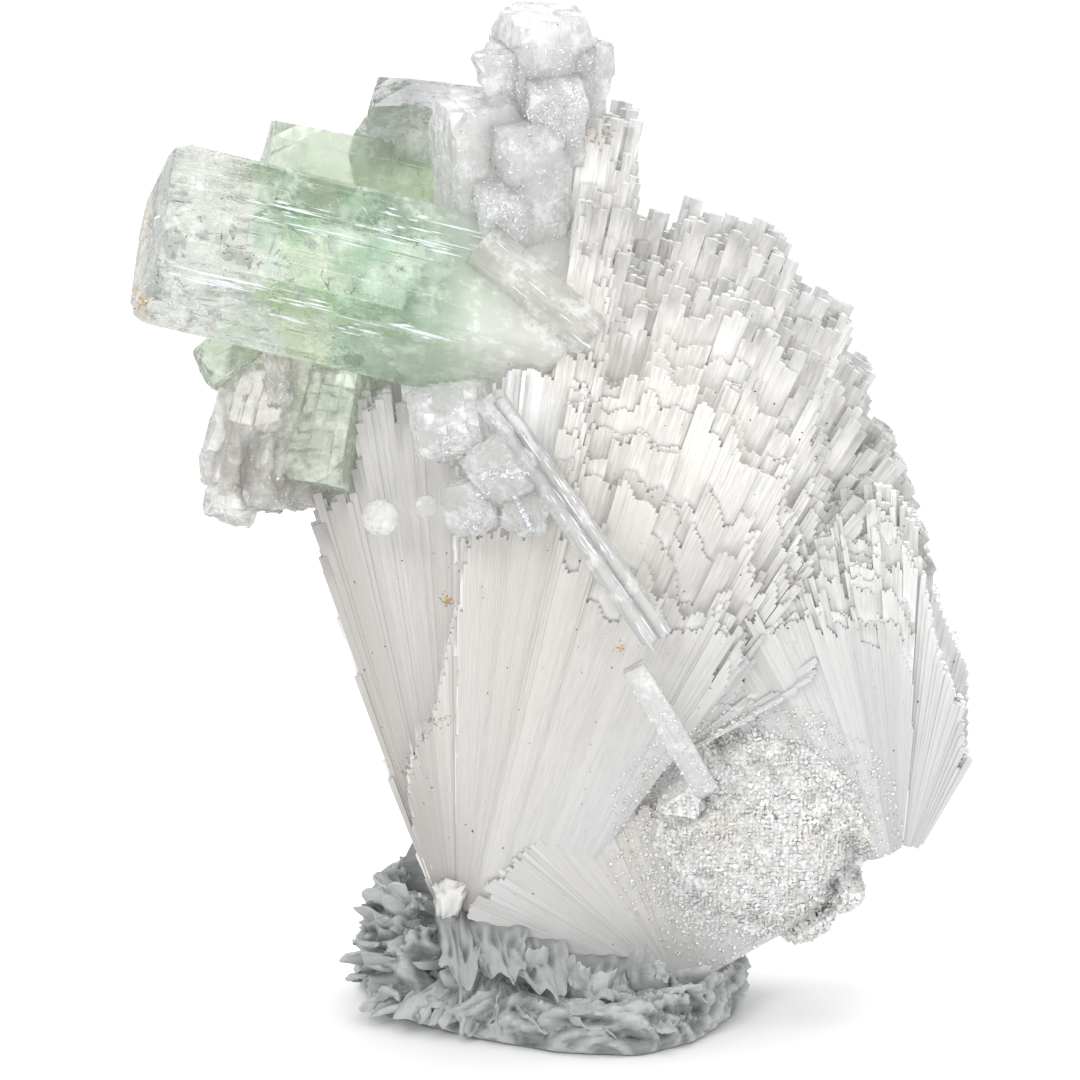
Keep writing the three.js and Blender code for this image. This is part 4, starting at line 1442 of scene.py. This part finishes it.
class SPECIMEN_OT_stage(bpy.types.Operator):
    """Set the camera, the pale floor and the studio light"""

    bl_idname = "specimen.stage"
    bl_label = "Stage"

    def execute(self, context):
        settings = context.scene.specimen_stage
        deselect()
        reach = settings.distance
        target = Vector((0, 0, settings.target))
        offset = Vector((0, -math.cos(settings.elevation), math.sin(settings.elevation))) * reach
        bpy.ops.object.camera_add(location=target + offset)
        camera = context.object
        camera.rotation_euler = (math.radians(90) - settings.elevation, 0, 0)
        camera.data.lens = settings.lens
        camera.data.sensor_width = 36
        camera.data.clip_start = 0.01
        context.scene.camera = camera

        bpy.ops.mesh.primitive_plane_add(size=12)
        floor = context.object
        floor.name = "floor"
        f = Finish("pale floor")
        floor.data.materials.append(f.finish(f.add(
            "BsdfPrincipled", None, Base_Color=(0.93, 0.93, 0.93, 1.0), Roughness=0.7,
        )))
        floor.visible_transmission = floor.visible_glossy = False
        floor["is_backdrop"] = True

        self.light("key", (-0.55, -0.8, 0.8), 0.5, settings.key, target)
        self.light("top", (0.1, 0.35, 0.95), 0.9, settings.top, target)
        self.light("fill", (0.9, -0.5, 0.35), 0.6, settings.fill, target)

        # The camera and the clear crystals see white. The rest is lit by a sky that is darker low
        # down and at the sides.
        f = Finish("studio", "world")
        where = f.add("TexCoord", out="Generated")
        side, height = (f.add("SeparateXYZ", None, where, out=axis) for axis in ("X", "Z"))
        glow = (1 - abs(side)).step(0.0, 0.7) * 0.55 + height.step(-0.3, 0.6) * 0.25 + 0.2
        sky = f.add("Background", None, f.mix(glow, (0.52, 0.53, 0.56), (1, 1, 1)), settings.sky)
        seen = f.add("Background", None, (1, 1, 1, 1), 1.0)
        camera_ray, through = (
            f.add("LightPath", out=out) for out in ("Is Camera Ray", "Is Transmission Ray")
        )
        context.scene.world = f.finish(f.blend(camera_ray + through, sky, seen))
        context.scene.world.cycles.sampling_method = "NONE"
        context.scene.view_settings.view_transform = "Standard"
        cycles = context.scene.cycles
        cycles.max_bounces, cycles.diffuse_bounces, cycles.glossy_bounces = 12, 2, 8
        cycles.use_fast_gi, cycles.fast_gi_method, cycles.ao_bounces_render = True, "REPLACE", 2
        context.scene.world.light_settings.distance = settings.glow
        return {"FINISHED"}

    def light(self, name, place, size, power, target):
        bpy.ops.object.light_add(type="AREA", location=place)
        light = bpy.context.object
        light.name = name
        light.data.size = size
        light.data.energy = power
        light.visible_transmission = False
        light.rotation_euler = (target - Vector(place)).to_track_quat("-Z", "Y").to_euler()


class SPECIMEN_PT_panel(bpy.types.Panel):
    bl_label = "Specimen"
    bl_idname = "SPECIMEN_PT_panel"
    bl_space_type = "VIEW_3D"
    bl_region_type = "UI"
    bl_category = "Specimen"

    def draw(self, context):
        layout = self.layout
        for group in (context.scene.specimen_spray, context.scene.specimen_stage):
            for key in group.__annotations__:
                layout.prop(group, key)
        for operator in STEPS:
            layout.operator(operator.bl_idname)


STEPS = (
    SPECIMEN_OT_heart,
    SPECIMEN_OT_needles,
    SPECIMEN_OT_crystals,
    SPECIMEN_OT_ridges,
    SPECIMEN_OT_crust,
    SPECIMEN_OT_specks,
    SPECIMEN_OT_putty,
    SPECIMEN_OT_stage,
)
CLASSES = (SpraySettings, StageSettings, *STEPS, SPECIMEN_PT_panel)


def register():
    for cls in CLASSES:
        bpy.utils.register_class(cls)
    bpy.types.Scene.specimen_spray = PointerProperty(type=SpraySettings)
    bpy.types.Scene.specimen_stage = PointerProperty(type=StageSettings)


def unregister():
    del bpy.types.Scene.specimen_spray
    del bpy.types.Scene.specimen_stage
    for cls in reversed(CLASSES):
        bpy.utils.unregister_class(cls)


def main():
    register()
    bpy.ops.specimen.heart()
    bpy.ops.specimen.needles()
    bpy.ops.specimen.crystals()
    bpy.ops.specimen.ridges()
    bpy.ops.specimen.crust()
    bpy.ops.specimen.specks()
    bpy.ops.specimen.putty()
    bpy.ops.specimen.stage()
    boxes = {"cad": CAD_BOX, "visual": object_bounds()}
    plain = {key: [[round(c, 5) for c in corner] for corner in box] for key, box in boxes.items()}


if __name__ == "__main__":
    main()
